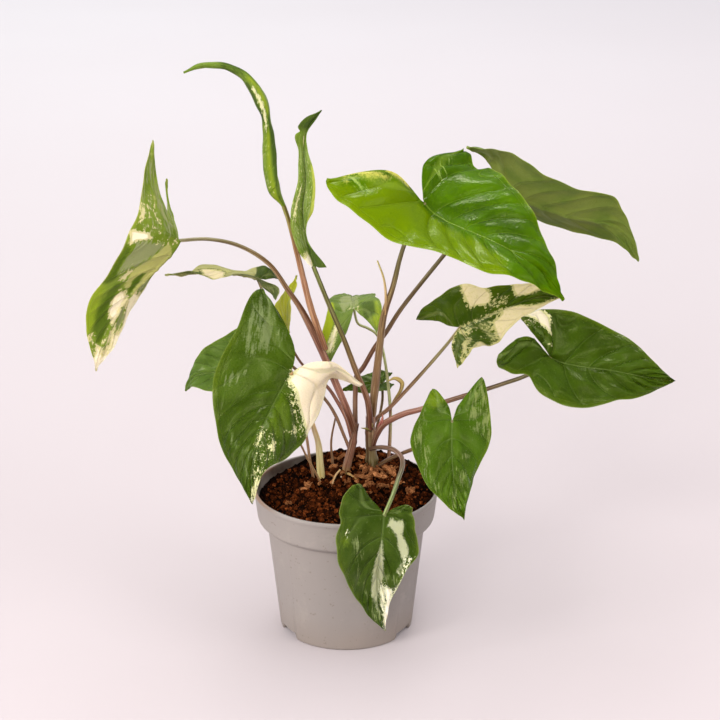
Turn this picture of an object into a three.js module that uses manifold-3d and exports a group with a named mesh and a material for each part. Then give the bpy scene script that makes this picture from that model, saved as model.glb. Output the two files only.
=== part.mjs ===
// A variegated arrowhead plant in its 12 cm nursery pot. Millimetres, +Z up.
// +X is to the right, +Y is away from the front, and the origin is the middle of
// the pot's foot on the ground.
import * as THREE from 'three';
import { mergeVertices } from 'three/addons/utils/BufferGeometryUtils.js';
import ManifoldModule from 'manifold-3d';

const kernel = await ManifoldModule();
kernel.setup();

// ---------------------------------------------------------------- driving sizes
const RIM_R = 60;            // a 12 cm pot, across the outside of its rim
const POT_H = 97;
const FOOT_R = 43.6;
const WALL = 1.5;
const COLLAR_H = 19;         // the straight band under the rim
const NECK_R = 51.5;         // the body just under the collar
const FLOOR_Z = 5.5;         // underside of the raised floor
const FOOT_NOTCHES = 3;
const NOTCH = { wide: 18, high: 4.8 };
const DRAIN_HOLES = 8;
const DRAIN = { hole: 4, circle: 32.5 };
const DISC_R = 16;           // the middle of the floor, which comes down to the ground

const GAP = 0.35;            // between two pieces that touch
const BLADE_T = 0.8;         // thickness of a leaf blade
const SOIL_Z = 90;           // soil at the wall, 7 mm below the rim
const CROWN = { x: 10, y: 31, high: 9, spread: 24 };   // soil heaped round the stems
const STEM_FOOT_Z = 74;      // how deep the stems stand in the soil

const TURN = Math.PI * 2;

// ---------------------------------------------------------------- colours
const COLOUR = {
  pot: 0xa8a29d, soil: 0x3b1f12,
  stem: 0x7d6a45, pink: 0x8a5f50, olive: 0x6b6238, tan: 0xc79a70, cream: 0xd9c08a,
  fresh: 0x7fa51f, green: 0x4c8a1f, dark: 0x2f6a18, grey: 0x6f8a55, marbled: 0xb9c48c,
};

function material(colour, roughness = 0.5) {
  return new THREE.MeshStandardMaterial({ color: colour, roughness, metalness: 0 });
}

// ---------------------------------------------------------------- solids
// Every piece is a manifold solid while it is cut, and a mesh at the end.
function solid(geometry) {
  const bare = new THREE.BufferGeometry();
  bare.setAttribute('position', geometry.getAttribute('position'));
  if (geometry.index) bare.setIndex(geometry.index);
  const welded = mergeVertices(bare, 1e-4);
  return new kernel.Manifold(new kernel.Mesh({
    numProp: 3,
    vertProperties: new Float32Array(welded.attributes.position.array),
    triVerts: new Uint32Array(welded.index.array),
  }));
}

function fromTriangles(points, triangles) {
  const geometry = new THREE.BufferGeometry();
  geometry.setAttribute('position', new THREE.Float32BufferAttribute(points.flat(), 3));
  geometry.setIndex(triangles.flat());
  return solid(geometry);
}

function toMesh(name, shape, look) {
  const { vertProperties, triVerts } = shape.getMesh();
  const geometry = new THREE.BufferGeometry();
  geometry.setAttribute('position', new THREE.BufferAttribute(vertProperties, 3));
  geometry.setIndex(new THREE.BufferAttribute(triVerts, 1));
  const faceted = geometry.toNonIndexed();
  faceted.computeVertexNormals();
  const mesh = new THREE.Mesh(faceted, look);
  mesh.name = name;
  return mesh;
}

function boxesMeet(a, b) {
  const p = a.boundingBox();
  const q = b.boundingBox();
  return [0, 1, 2].every((i) => p.min[i] < q.max[i] && q.min[i] < p.max[i]);
}

// Cuts each of the tools out of a shape and keeps the largest piece that is left.
function trimmed(shape, tools) {
  const near = tools.filter((tool) => boxesMeet(shape, tool));
  const cut = near.reduce((left, tool) => left.subtract(tool), shape);
  const pieces = cut.decompose();
  return pieces.reduce((best, piece) => (piece.volume() > best.volume() ? piece : best));
}

function seeded(seed) {
  let state = seed;
  return () => {
    state = (state * 1664525 + 1013904223) % 4294967296;
    return state / 4294967296;
  };
}

// ---------------------------------------------------------------- pot
function potShape() {
  const collarZ = POT_H - COLLAR_H;
  const inner = RIM_R - WALL;
  const profile = [
    [0, 0], [DISC_R, 0], [24, FLOOR_Z], [FOOT_R - 2.8, FLOOR_Z],
    [FOOT_R - 2.2, 0], [FOOT_R - 0.8, 0], [FOOT_R, 0.8],
    [NECK_R, collarZ - 4.5],
    [NECK_R + 1.2, collarZ - 3.2], [NECK_R + 4, collarZ - 2.4], [NECK_R + 5.8, collarZ - 0.8],
    [NECK_R + 6.3, collarZ + 1.5],
    [RIM_R - 0.5, POT_H - 3.2], [RIM_R, POT_H - 2.4], [RIM_R, POT_H - 0.8], [RIM_R - 0.6, POT_H],
    [inner - 0.2, POT_H], [inner - 0.6, POT_H - 0.8],
    [NECK_R + 4.6, collarZ + 1.5], [NECK_R + 3.6, collarZ - 0.4], [NECK_R - 0.4, collarZ - 1.6],
    [NECK_R - WALL, collarZ - 4.5],
    [FOOT_R - 1.3, FLOOR_Z + WALL], [24, FLOOR_Z + WALL], [DISC_R - 0.6, WALL], [0, WALL],
  ].map(([r, z]) => new THREE.Vector2(r, z));
  const lathe = new THREE.LatheGeometry(profile, 48);
  lathe.rotateX(Math.PI / 2);

  const cuts = [];
  for (let i = 0; i < FOOT_NOTCHES; i += 1) {
    const box = new THREE.BoxGeometry(8, NOTCH.wide, NOTCH.high + 2);
    box.translate(FOOT_R - 0.5, 0, NOTCH.high / 2 - 1);
    box.rotateZ(Math.PI / 2 + (i * TURN) / FOOT_NOTCHES);
    cuts.push(solid(box));
  }
  for (let i = 0; i < DRAIN_HOLES; i += 1) {
    const drill = new THREE.CylinderGeometry(DRAIN.hole, DRAIN.hole, 6, 14);
    drill.rotateX(Math.PI / 2);
    drill.translate(DRAIN.circle, 0, FLOOR_Z + WALL / 2);
    drill.rotateZ(((i + 0.5) * TURN) / DRAIN_HOLES);
    cuts.push(solid(drill));
  }
  return cuts.reduce((left, cut) => left.subtract(cut), solid(lathe));
}

// ---------------------------------------------------------------- soil
function soilHeight(x, y) {
  const heap = Math.exp(-((x - CROWN.x) ** 2 + (y - CROWN.y) ** 2) / (2 * CROWN.spread ** 2));
  const crumbs = 0.7 * Math.sin(x * 0.61 + 1) * Math.sin(y * 0.53)
    + 0.4 * Math.sin(x * 1.3 + y * 0.9) + 0.3 * Math.sin(y * 1.7 - x * 0.8 + 2);
  return SOIL_Z + CROWN.high * heap + crumbs;
}

// A solid of rings round the Z axis, from a lower pole to an upper pole.
function ringSolid(rings, sides, lowZ, highZ) {
  const points = [[0, 0, lowZ], [0, 0, highZ]];
  const triangles = [];
  const at = (ring, side) => 2 + ring * sides + (side % sides);
  rings.forEach((ring) => {
    for (let side = 0; side < sides; side += 1) {
      const angle = (side * TURN) / sides;
      const x = ring.r * Math.cos(angle);
      const y = ring.r * Math.sin(angle);
      points.push([x, y, ring.z ?? soilHeight(x, y)]);
    }
  });
  const last = rings.length - 1;
  for (let side = 0; side < sides; side += 1) {
    triangles.push([0, at(0, side + 1), at(0, side)], [1, at(last, side), at(last, side + 1)]);
    for (let ring = 0; ring < last; ring += 1) {
      triangles.push([at(ring, side), at(ring, side + 1), at(ring + 1, side + 1)]);
      triangles.push([at(ring, side), at(ring + 1, side + 1), at(ring + 1, side)]);
    }
  }
  return fromTriangles(points, triangles);
}

// Bark chips lie on the heap; [x, y, long, wide, thick, turn, tip] each.
const CHIPS = [
  [14, 20, 11, 6, 3, 0.4, 0.5], [21, 14, 13, 5, 3, -0.5, 0.3], [9, 14, 8, 6, 3, 1.2, 0.4],
  [17, 6, 12, 7, 3.4, 0.2, 0.35], [28, 20, 12, 4, 2.6, -0.9, 0.4], [24, 4, 9, 5, 2.6, 0.7, 0.3],
  [4, 33, 10, 5, 3, -0.3, 0.4], [34, 10, 9, 4, 2.4, 0.5, 0.25], [42, 2, 6, 5, 3, 0.1, 0.2],
  [-25, 8, 5, 4, 3, 0.6, 0.2], [-36, -12, 6, 4, 3, -0.4, 0.2], [-8, 30, 7, 4, 3, 0.9, 0.3],
];
const CRUMBS = 60;

function soilShape() {
  const wall = GAP + 0.15;
  const body = [
    { r: DISC_R - 1.2, z: WALL + wall }, { r: 24, z: FLOOR_Z + WALL + wall },
    { r: FOOT_R - 1.9, z: FLOOR_Z + WALL + wall },
    { r: NECK_R - WALL - wall, z: POT_H - COLLAR_H - 4.5 },
    { r: NECK_R - 0.9, z: POT_H - COLLAR_H - 1 }, { r: NECK_R + 3.1, z: POT_H - COLLAR_H + 0.4 },
    { r: RIM_R - 4.7, z: POT_H - COLLAR_H + 2 }, { r: RIM_R - 3.8, z: SOIL_Z - 2.5 },
  ];
  const top = [56.2, 51, 46, 40, 34, 28, 22, 16, 10, 5].map((r) => ({ r }));
  let soil = ringSolid([...body, ...top], 40, WALL + wall, soilHeight(0, 0));

  CHIPS.forEach(([x, y, long, wide, thick, turn, tip]) => {
    const chip = new THREE.BoxGeometry(long, wide, thick);
    chip.rotateY(tip);
    chip.rotateZ(turn);
    chip.translate(x, y, soilHeight(x, y) + thick * 0.35);
    soil = soil.add(solid(chip));
  });
  const random = seeded(11);
  for (let i = 0; i < CRUMBS; i += 1) {
    const angle = random() * TURN;
    const reach = Math.sqrt(random()) * 50;
    const size = 1.3 + 1.5 * random();
    const crumb = new THREE.OctahedronGeometry(size);
    crumb.rotateX(random() * 3);
    crumb.rotateZ(random() * 3);
    const x = reach * Math.cos(angle);
    const y = reach * Math.sin(angle);
    crumb.translate(x, y, soilHeight(x, y) + size * 0.15);
    soil = soil.add(solid(crumb));
  }
  return soil;
}

// ---------------------------------------------------------------- stems and stalks
// A stalk follows its route through round sections; radii are spread evenly along it.
function stalkShape(route, radii, grow = 0, sides = 8) {
  const curve = new THREE.CatmullRomCurve3(route.map((p) => new THREE.Vector3(...p)));
  const steps = Math.max(6, Math.round(curve.getLength() / 14));
  const frames = curve.computeFrenetFrames(steps);
  const points = [];
  const triangles = [];
  for (let i = 0; i <= steps; i += 1) {
    const along = i / steps;
    const slot = along * (radii.length - 1);
    const low = Math.min(Math.floor(slot), radii.length - 2);
    const radius = THREE.MathUtils.lerp(radii[low], radii[low + 1], slot - low) + grow;
    const centre = curve.getPointAt(along);
    const end = i === 0 ? -grow : (i === steps ? grow : 0);
    centre.addScaledVector(frames.tangents[i], end);
    for (let side = 0; side < sides; side += 1) {
      const angle = (side * TURN) / sides;
      const point = centre.clone()
        .addScaledVector(frames.normals[i], radius * Math.cos(angle))
        .addScaledVector(frames.binormals[i], radius * Math.sin(angle));
      points.push(point.toArray());
    }
  }
  const at = (ring, side) => ring * sides + (side % sides);
  for (let side = 0; side < sides; side += 1) {
    for (let ring = 0; ring < steps; ring += 1) {
      triangles.push([at(ring, side), at(ring, side + 1), at(ring + 1, side + 1)]);
      triangles.push([at(ring, side), at(ring + 1, side + 1), at(ring + 1, side)]);
    }
    if (side > 1) {
      triangles.push([at(0, 0), at(0, side), at(0, side - 1)]);
      triangles.push([at(steps, 0), at(steps, side - 1), at(steps, side)]);
    }
  }
  return fromTriangles(points, triangles);
}

// ---------------------------------------------------------------- leaf blades
// A blade is cut from a flat arrowhead and bent through landmarks. Flat places are in
// leaf lengths: s runs from the joint (0) to the tip (1), v to the left of the midrib.
// Each half has its basal lobe, the notch beside the joint, the back of the lobe, the
// shoulder, the side and a place near the tip.
function flatPlaces({ back, side, width }) {
  const places = { joint: [0, 0], middle: [0.5, 0], tip: [1, 0] };
  ['left', 'right'].forEach((half, i) => {
    const sign = i === 0 ? 1 : -1;
    const [b, d, w] = [back[i], side[i], width[i]];
    places[`${half}Lobe`] = [-b, sign * d];
    places[`${half}Notch`] = [-0.42 * b, sign * 0.3 * d];
    places[`${half}Back`] = [-0.45 * b, sign * (0.55 * d + 0.45 * w + 0.03)];
    places[`${half}Shoulder`] = [0.12, sign * w];
    places[`${half}Side`] = [0.5, sign * 0.7 * w];
    places[`${half}Point`] = [0.8, sign * 0.27 * w];
  });
  return places;
}

function solve(matrix, right) {
  const size = matrix.length;
  const rows = matrix.map((row, i) => [...row, ...right[i]]);
  for (let col = 0; col < size; col += 1) {
    let best = col;
    for (let r = col + 1; r < size; r += 1) {
      if (Math.abs(rows[r][col]) > Math.abs(rows[best][col])) best = r;
    }
    [rows[col], rows[best]] = [rows[best], rows[col]];
    for (let r = 0; r < size; r += 1) {
      const factor = r === col ? 0 : rows[r][col] / rows[col][col];
      for (let c = col; factor && c < rows[r].length; c += 1) rows[r][c] -= factor * rows[col][c];
    }
  }
  return rows.map((row, i) => row.slice(size).map((value) => value / row[i]));
}

const kernelOf = (square) => (square > 0 ? 0.5 * square * Math.log(square) : 0);

// The thin-plate spline that carries flat places to landmarks in space.
function bending(flat, landmarks) {
  const names = Object.keys(flat);
  const from = names.map((name) => flat[name]);
  const distance = (a, b) => (a[0] - b[0]) ** 2 + (a[1] - b[1]) ** 2;
  const matrix = from.map((a) => [...from.map((b) => kernelOf(distance(a, b))), 1, a[0], a[1]]);
  matrix.push([...from.map(() => 1), 0, 0, 0]);
  matrix.push([...from.map((a) => a[0]), 0, 0, 0]);
  matrix.push([...from.map((a) => a[1]), 0, 0, 0]);
  const right = [...names.map((name) => landmarks[name]), [0, 0, 0], [0, 0, 0], [0, 0, 0]];
  const weights = solve(matrix, right);
  return (s, v) => {
    const terms = [...from.map((b) => kernelOf(distance([s, v], b))), 1, s, v];
    const sum = (axis) => terms.reduce((total, term, i) => total + term * weights[i][axis], 0);
    return new THREE.Vector3(sum(0), sum(1), sum(2));
  };
}

const LOBE_ROWS = 4;         // rows of facets beside the notch, and beside the midrib
const RIB_ROWS = 12;
const COLUMNS = 3;           // facets from the midrib to the margin

// How far the margin bays in at one place, in leaf lengths; below 0 it bulges out.
function bayDepth(bays, along) {
  return bays.reduce((sum, [at, depth, spread]) => (
    sum + depth * Math.exp(-(((along - at) / spread) ** 2))), 0);
}

// The flat grid of one blade: rows run from a lobe to the tip, on both halves.
function flatGrid(flat, bays) {
  const places = [];
  const lookup = new Map();
  const quads = [];
  const place = (s, v, margin, along) => {
    const key = `${s.toFixed(4)} ${v.toFixed(4)}`;
    if (!lookup.has(key)) {
      lookup.set(key, places.length);
      places.push({ s, v, margin, along });
    }
    return lookup.get(key);
  };
  ['left', 'right'].forEach((half, i) => {
    const spline = (names) => new THREE.SplineCurve(names.map((n) => new THREE.Vector2(...flat[n])));
    const outer = spline([`${half}Lobe`, `${half}Back`, `${half}Shoulder`, `${half}Side`,
      `${half}Point`, 'tip']);
    const notch = spline([`${half}Lobe`, `${half}Notch`, 'joint']);
    const rows = LOBE_ROWS + RIB_ROWS;
    const grid = [];
    for (let row = 0; row <= rows; row += 1) {
      const beside = row <= LOBE_ROWS;
      const part = beside ? row / LOBE_ROWS : (row - LOBE_ROWS) / RIB_ROWS;
      const inner = beside ? notch.getPoint(part) : new THREE.Vector2(part, 0);
      const along = beside ? 0.3 * part : 0.3 + 0.7 * part;
      const edge = outer.getPoint(along);
      const room = edge.distanceTo(inner);
      if (room > 0) edge.lerp(inner, Math.min(bayDepth(bays[i], along) / room, 0.9));
      grid.push([...Array(COLUMNS + 1).keys()].map((column) => {
        const margin = column / COLUMNS;
        const spot = inner.clone().lerp(edge, margin);
        return place(spot.x, spot.y, margin, along);
      }));
    }
    for (let row = 0; row < rows; row += 1) {
      for (let column = 0; column < COLUMNS; column += 1) {
        const corners = [grid[row][column], grid[row + 1][column],
          grid[row + 1][column + 1], grid[row][column + 1]];
        quads.push(i === 0 ? corners : corners.reverse());
      }
    }
  });
  const triangles = quads.flatMap(([a, b, c, d]) => [[a, b, c], [a, c, d]])
    .filter(([a, b, c]) => a !== b && b !== c && c !== a);
  return { places, triangles };
}

// Thickens a sheet of points and triangles to a closed solid.
function sheetSolid(middle, normals, triangles, thickness) {
  const count = middle.length;
  const half = thickness / 2;
  const points = [1, -1].flatMap((face) => middle.map((point, i) => (
    point.clone().addScaledVector(normals[i], face * half).toArray())));
  const edges = new Map();
  triangles.forEach(([a, b, c]) => [[a, b], [b, c], [c, a]].forEach(([from, to]) => {
    if (edges.has(`${to} ${from}`)) edges.delete(`${to} ${from}`);
    else edges.set(`${from} ${to}`, [from, to]);
  }));
  const faces = triangles.flatMap(([a, b, c]) => [[a, b, c], [a + count, c + count, b + count]]);
  edges.forEach(([from, to]) => {
    faces.push([from, from + count, to + count], [from, to + count, to]);
  });
  return fromTriangles(points, faces);
}

function bladeShape(leaf, grow = 0) {
  const flat = flatPlaces(leaf);
  const bend = bending(flat, leaf.landmarks);
  const { places, triangles } = flatGrid(flat, leaf.bays ?? [[], []]);
  const step = 0.004;
  const middle = [];
  const normals = [];
  places.forEach(({ s, v, margin, along }) => {
    const alongRib = bend(s + step, v).sub(bend(s - step, v));
    const across = bend(s, v + step).sub(bend(s, v - step));
    const normal = alongRib.cross(across).normalize();
    const wave = leaf.wave * margin ** 2 * Math.sin(TURN * leaf.waves * along + (v > 0 ? 0 : 2));
    middle.push(bend(s, v).addScaledVector(normal, wave));
    normals.push(normal);
  });
  return sheetSolid(middle, normals, triangles, BLADE_T + grow);
}

// A narrow young blade, still folded along its midrib: two strips hinged on a spine.
// Widths are spread evenly from the joint to the tip; leans are angles from +X.
function foldedBladeShape(leaf, grow = 0) {
  const spine = new THREE.CatmullRomCurve3(leaf.spine.map((p) => new THREE.Vector3(...p)));
  const steps = leaf.left.length - 1;
  const points = [];
  for (let i = 0; i <= steps; i += 1) {
    const centre = spine.getPointAt(i / steps);
    const tangent = spine.getTangentAt(i / steps);
    const right = new THREE.Vector3(1, 0, 0).addScaledVector(tangent, -tangent.x).normalize();
    const front = right.clone().cross(tangent);
    const reach = (width, lean) => {
      const angle = THREE.MathUtils.degToRad(lean);
      return centre.clone().addScaledVector(right, width * Math.cos(angle))
        .addScaledVector(front, width * Math.sin(angle));
    };
    const [wide, narrow] = [leaf.left[i], leaf.right[i]];
    points.push(reach(wide, leaf.leans[0]), reach(wide * 0.5, leaf.leans[0] - 12), centre,
      reach(narrow * 0.5, leaf.leans[1] + 12), reach(narrow, leaf.leans[1]));
  }
  const columns = 5;
  const triangles = [];
  for (let i = 0; i < steps; i += 1) {
    for (let j = 0; j < columns - 1; j += 1) {
      const low = i * columns + j;
      const high = low + columns;
      triangles.push([low, low + 1, high + 1], [low, high + 1, high]);
    }
  }
  const normals = points.map((_, index) => {
    const [i, j] = [Math.floor(index / columns), index % columns];
    const up = points[Math.min(i + 1, steps) * columns + j]
      .clone().sub(points[Math.max(i - 1, 0) * columns + j]);
    const over = points[i * columns + Math.min(j + 1, columns - 1)]
      .clone().sub(points[i * columns + Math.max(j - 1, 0)]);
    return over.cross(up).normalize();
  });
  return sheetSolid(points, normals, triangles, BLADE_T + grow);
}

// A young blade still rolled up: a tapering roll, with the free margin as a lip that
// winds along it.
function rolledBladeShape(leaf, grow = 0) {
  const spine = new THREE.CatmullRomCurve3(leaf.spine.map((p) => new THREE.Vector3(...p)));
  const steps = 26;
  const sides = 12;
  const frames = spine.computeFrenetFrames(steps);
  const points = [];
  const triangles = [];
  for (let i = 0; i <= steps; i += 1) {
    const slot = (i / steps) * (leaf.radii.length - 1);
    const low = Math.min(Math.floor(slot), leaf.radii.length - 2);
    const radius = THREE.MathUtils.lerp(leaf.radii[low], leaf.radii[low + 1], slot - low);
    const centre = spine.getPointAt(i / steps);
    for (let side = 0; side < sides; side += 1) {
      const turn = side / (sides - 1);
      const angle = TURN * 0.985 * turn + leaf.twist * (i / steps);
      const reach = radius * (0.74 + 0.26 * turn) + grow;
      points.push(centre.clone().addScaledVector(frames.normals[i], reach * Math.cos(angle))
        .addScaledVector(frames.binormals[i], reach * Math.sin(angle)).toArray());
    }
  }
  const at = (ring, side) => ring * sides + (side % sides);
  for (let side = 0; side < sides; side += 1) {
    for (let ring = 0; ring < steps; ring += 1) {
      triangles.push([at(ring, side), at(ring, side + 1), at(ring + 1, side + 1)]);
      triangles.push([at(ring, side), at(ring + 1, side + 1), at(ring + 1, side)]);
    }
    if (side > 1) {
      triangles.push([at(0, 0), at(0, side), at(0, side - 1)]);
      triangles.push([at(steps, 0), at(steps, side - 1), at(steps, side)]);
    }
  }
  return fromTriangles(points, triangles);
}

// ---------------------------------------------------------------- the plant
// Stems stand in the soil and carry the leaf stalks.
const STEMS = [
  {
    name: 'stem_middle', colour: COLOUR.pink, radii: [3, 3.2, 2.9, 2.7],
    route: [[-3, 22, STEM_FOOT_Z], [-2, 22, 89], [1, 22, 104], [4, 23, 116], [7, 24, 131]],
  },
  {
    name: 'stem_right', colour: COLOUR.stem, radii: [3.6, 3.8, 3.5, 3.1],
    route: [[19, 24, STEM_FOOT_Z], [18, 24, 88], [17, 25, 103], [16, 26, 118], [16, 27, 135]],
  },
  {
    name: 'dry_stalk_left', colour: COLOUR.tan, radii: [0.8, 0.7, 0.7],
    route: [[-13, 15, 82], [-18, 14, 96], [-25, 12, 111], [-32, 8, 129]],
  },
  {
    name: 'dry_stalk_middle', colour: COLOUR.tan, radii: [1.2, 0.8, 0.6],
    route: [[-8, 34, 84], [-9, 34, 98], [-10, 34, 114], [-7, 36, 131]],
  },
];

// Each leaf has a stalk, from what carries it to the joint, and a blade. A blade gives its
// proportions as [left, right] halves, its wave, the bays of each half's margin as
// [along, depth, spread], and the landmarks that it is bent through.
const LEAVES = [
  {
    name: 'leaf_front_left', colour: COLOUR.dark, back: [0.52, 0.6], side: [0.3, 0.22],
    width: [0.42, 0.46], wave: 0.8, waves: 3,
    bays: [[[0.1, -0.015, 0.05], [0.31, -0.045, 0.07], [0.5, -0.015, 0.04]], []],
    landmarks: {
      joint: [-34, -22, 184], middle: [-52, -58, 159], tip: [-56, -92, 126],
      leftLobe: [11, 10, 164], leftNotch: [-13, -12, 188], leftBack: [-9, 5, 170],
      leftShoulder: [-21, -18, 149], leftSide: [-36, -50, 138], leftPoint: [-50, -82, 141],
      rightLobe: [-53, 11, 228], rightNotch: [-35, -11, 206], rightBack: [-67, -11, 212],
      rightShoulder: [-83, -23, 178], rightSide: [-78, -48, 149], rightPoint: [-66, -75, 136],
    },
    stalk: {
      colour: COLOUR.cream, radii: [2.6, 2.7, 2, 1.5, 1.3, 1.2],
      route: [[-16, 21, STEM_FOOT_Z], [-16, 21, 89], [-17, 19, 103], [-18, 15, 120], [-21, 8, 135],
        [-26, -5, 159], [-34, -22, 184]],
    },
  },
  {
    name: 'leaf_far_left', colour: COLOUR.marbled, back: [0.62, 0.5], side: [0.26, 0.28],
    width: [0.44, 0.34], wave: 0.7, waves: 3,
    bays: [[[0.34, -0.012, 0.04], [0.56, -0.03, 0.05]], []],
    landmarks: {
      joint: [-104, -4, 265], middle: [-137, -18, 230], tip: [-156, -24, 186],
      leftLobe: [-117, -3, 329], leftNotch: [-112, -5, 289], leftBack: [-123, -24, 303],
      leftShoulder: [-134, -42, 270], leftSide: [-156, -41, 235], leftPoint: [-158, -31, 206],
      rightLobe: [-111, 14, 300], rightNotch: [-108, 9, 278], rightBack: [-114, 28, 272],
      rightShoulder: [-122, 20, 242], rightSide: [-133, 0, 221], rightPoint: [-145, -18, 200],
    },
    stalk: {
      colour: COLOUR.pink, radii: [2.2, 2.3, 2.3, 2.3, 1.6, 1.4, 1.2, 1.1],
      route: [[5, 20, 128], [2, 16, 140], [-2, 13, 152], [-6, 11, 163], [-17, 7, 192], [-28, 4, 217],
        [-36, 3, 230], [-48, 2, 248], [-66, 1, 260], [-85, -1, 265], [-104, -4, 265]],
    },
  },
  {
    name: 'leaf_bright', colour: COLOUR.fresh, back: [0.34, 0.4], side: [0.4, 0.44],
    width: [0.46, 0.42], wave: 1.4, waves: 4,
    bays: [[], [[0.46, 0.05, 0.05], [0.55, 0.04, 0.045], [0.74, -0.012, 0.04]]],
    landmarks: {
      joint: [48, -28, 296], middle: [88, -64, 283], tip: [128, -85, 253],
      leftLobe: [73, 27, 314], leftNotch: [48, -9, 315], leftBack: [82, 13, 307],
      leftShoulder: [96, -10, 309], leftSide: [113, -42, 293], leftPoint: [122, -72, 274],
      rightLobe: [-11, -50, 316], rightNotch: [29, -36, 316], rightBack: [2, -64, 303],
      rightShoulder: [35, -76, 284], rightSide: [76, -94, 276], rightPoint: [109, -92, 266],
    },
    stalk: {
      colour: COLOUR.olive, radii: [2.7, 2.6, 2.4, 2, 1.5, 1.4, 1.3],
      route: [[17, 27, 136], [18, 25, 147], [20, 22, 168], [22, 17, 190], [24, 12, 209], [30, 4, 233],
        [34, -5, 254], [40, -17, 277], [48, -28, 296]],
      horn: { radii: [1.1, 0.8, 0.5], route: [[25, 10, 212], [25.5, 6, 224], [24, 3, 238], [20, 2, 250]] },
    },
  },
  {
    name: 'leaf_back_right', colour: COLOUR.grey, back: [0.36, 0.36], side: [0.34, 0.34],
    width: [0.42, 0.42], wave: 0.9, waves: 3,
    bays: [[[0.47, 0.08, 0.06]], [[0.55, 0.03, 0.05], [0.67, -0.035, 0.06]]],
    landmarks: {
      joint: [103, 62, 279], middle: [148, 60, 261], tip: [190, 47, 235],
      leftLobe: [63, 94, 272], leftNotch: [87, 73, 280], leftBack: [82, 100, 264],
      leftShoulder: [108, 98, 252], leftSide: [147, 84, 246], leftPoint: [178, 65, 241],
      rightLobe: [76, 38, 313], rightNotch: [92, 62, 297], rightBack: [97, 35, 313],
      rightShoulder: [123, 32, 299], rightSide: [161, 40, 283], rightPoint: [183, 54, 261],
    },
    stalk: {
      colour: COLOUR.pink, radii: [1.7, 1.6, 1.5, 1.4, 1.3, 1.2],
      route: [[6, 29, 124], [6, 32, 148], [7, 34, 161], [11, 35, 166], [19, 37, 180], [26, 39, 189],
        [35, 42, 203], [64, 50, 239], [87, 57, 266], [103, 62, 279]],
    },
  },
  {
    name: 'leaf_marbled_right', colour: COLOUR.marbled, back: [0.46, 0.42], side: [0.26, 0.3],
    width: [0.4, 0.34], wave: 0.9, waves: 3,
    bays: [[[0.49, 0.05, 0.05]], [[0.45, -0.015, 0.04]]],
    landmarks: {
      joint: [74, 30, 196], middle: [106, 44, 205], tip: [140, 50, 209],
      leftLobe: [46, 50, 194], leftNotch: [61, 35, 198], leftBack: [56, 50, 207],
      leftShoulder: [76, 54, 217], leftSide: [107, 58, 216], leftPoint: [126, 48, 218],
      rightLobe: [71, -3, 180], rightNotch: [68, 18, 188], rightBack: [80, 4, 190],
      rightShoulder: [94, 18, 188], rightSide: [110, 32, 198], rightPoint: [129, 41, 207],
    },
    stalk: {
      colour: COLOUR.olive, radii: [1.4, 1.3, 1.2, 1.1, 1],
      route: [[16, 32, 125], [20, 33, 131], [27, 33, 137], [37, 33, 148], [55, 32, 170], [68, 31, 187],
        [74, 30, 196]],
    },
  },
  {
    name: 'leaf_dark_right', colour: COLOUR.dark, back: [0.4, 0.4], side: [0.26, 0.3],
    width: [0.42, 0.44], wave: 0.9, waves: 3,
    bays: [[], [[0.1, -0.015, 0.05], [0.28, 0.07, 0.05], [0.5, -0.024, 0.07],
      [0.65, 0.02, 0.04]]],
    landmarks: {
      joint: [129, -12, 191], middle: [167, -20, 185], tip: [206, -25, 180],
      leftLobe: [109, -20, 220], leftNotch: [121, -16, 203], leftBack: [123, -4, 220],
      leftShoulder: [146, 6, 214], leftSide: [177, -5, 202], leftPoint: [193, -26, 192],
      rightLobe: [94, -32, 198], rightNotch: [116, -15, 204], rightBack: [103, -26, 185],
      rightShoulder: [128, -37, 172], rightSide: [162, -37, 169], rightPoint: [189, -32, 174],
    },
    stalk: {
      colour: COLOUR.pink, radii: [2.2, 2, 1.7, 1.4, 1.3, 1.2],
      route: [[19, 21, 121], [21, 19, 127], [24, 17, 133], [30, 15, 138], [39, 13, 143], [47, 11, 146],
        [73, 5, 157], [100, -2, 169], [117, -7, 178], [129, -12, 191]],
    },
  },
  {
    name: 'leaf_small_right', colour: COLOUR.green, back: [0.46, 0.36], side: [0.3, 0.2],
    width: [0.42, 0.42], wave: 0.6, waves: 3,
    bays: [[], [[0.33, -0.02, 0.1]]],
    landmarks: {
      joint: [66, -48, 162], middle: [66, -72, 138], tip: [72, -97, 118],
      leftLobe: [85, -26, 183], leftNotch: [70, -35, 167], leftBack: [90, -31, 165],
      leftShoulder: [90, -43, 147], leftSide: [80, -61, 131], leftPoint: [74, -82, 122],
      rightLobe: [55, -29, 176], rightNotch: [64, -40, 169], rightBack: [46, -36, 161],
      rightShoulder: [42, -45, 142], rightSide: [50, -67, 128], rightPoint: [62, -86, 122],
    },
    stalk: {
      colour: COLOUR.olive, radii: [1.4, 1.3, 1.1, 1],
      route: [[20, 22, 101], [25, 19, 106], [31, 13, 112], [36, 7, 117], [46, -8, 128], [57, -27, 145],
        [66, -48, 162]],
    },
  },
  {
    name: 'leaf_over_rim', colour: COLOUR.green, back: [0.16, 0.34], side: [0.22, 0.26],
    width: [0.32, 0.44], wave: 0.9, waves: 4,
    bays: [[[0.08, -0.025, 0.05], [0.45, -0.04, 0.05]],
      [[0.31, 0.05, 0.045], [0.48, -0.035, 0.06]]],
    landmarks: {
      joint: [24, -63, 105], middle: [20, -62, 65], tip: [25, -66, 26],
      leftLobe: [39, -67, 114], leftNotch: [30, -61, 109], leftBack: [42, -71, 108],
      leftShoulder: [44, -71, 90], leftSide: [34, -73, 63], leftPoint: [27, -64, 41],
      rightLobe: [8, -66, 128], rightNotch: [17, -61, 114], rightBack: [-3, -69, 116],
      rightShoulder: [-5, -82, 94], rightSide: [3, -80, 64], rightPoint: [14, -71, 40],
    },
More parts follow.
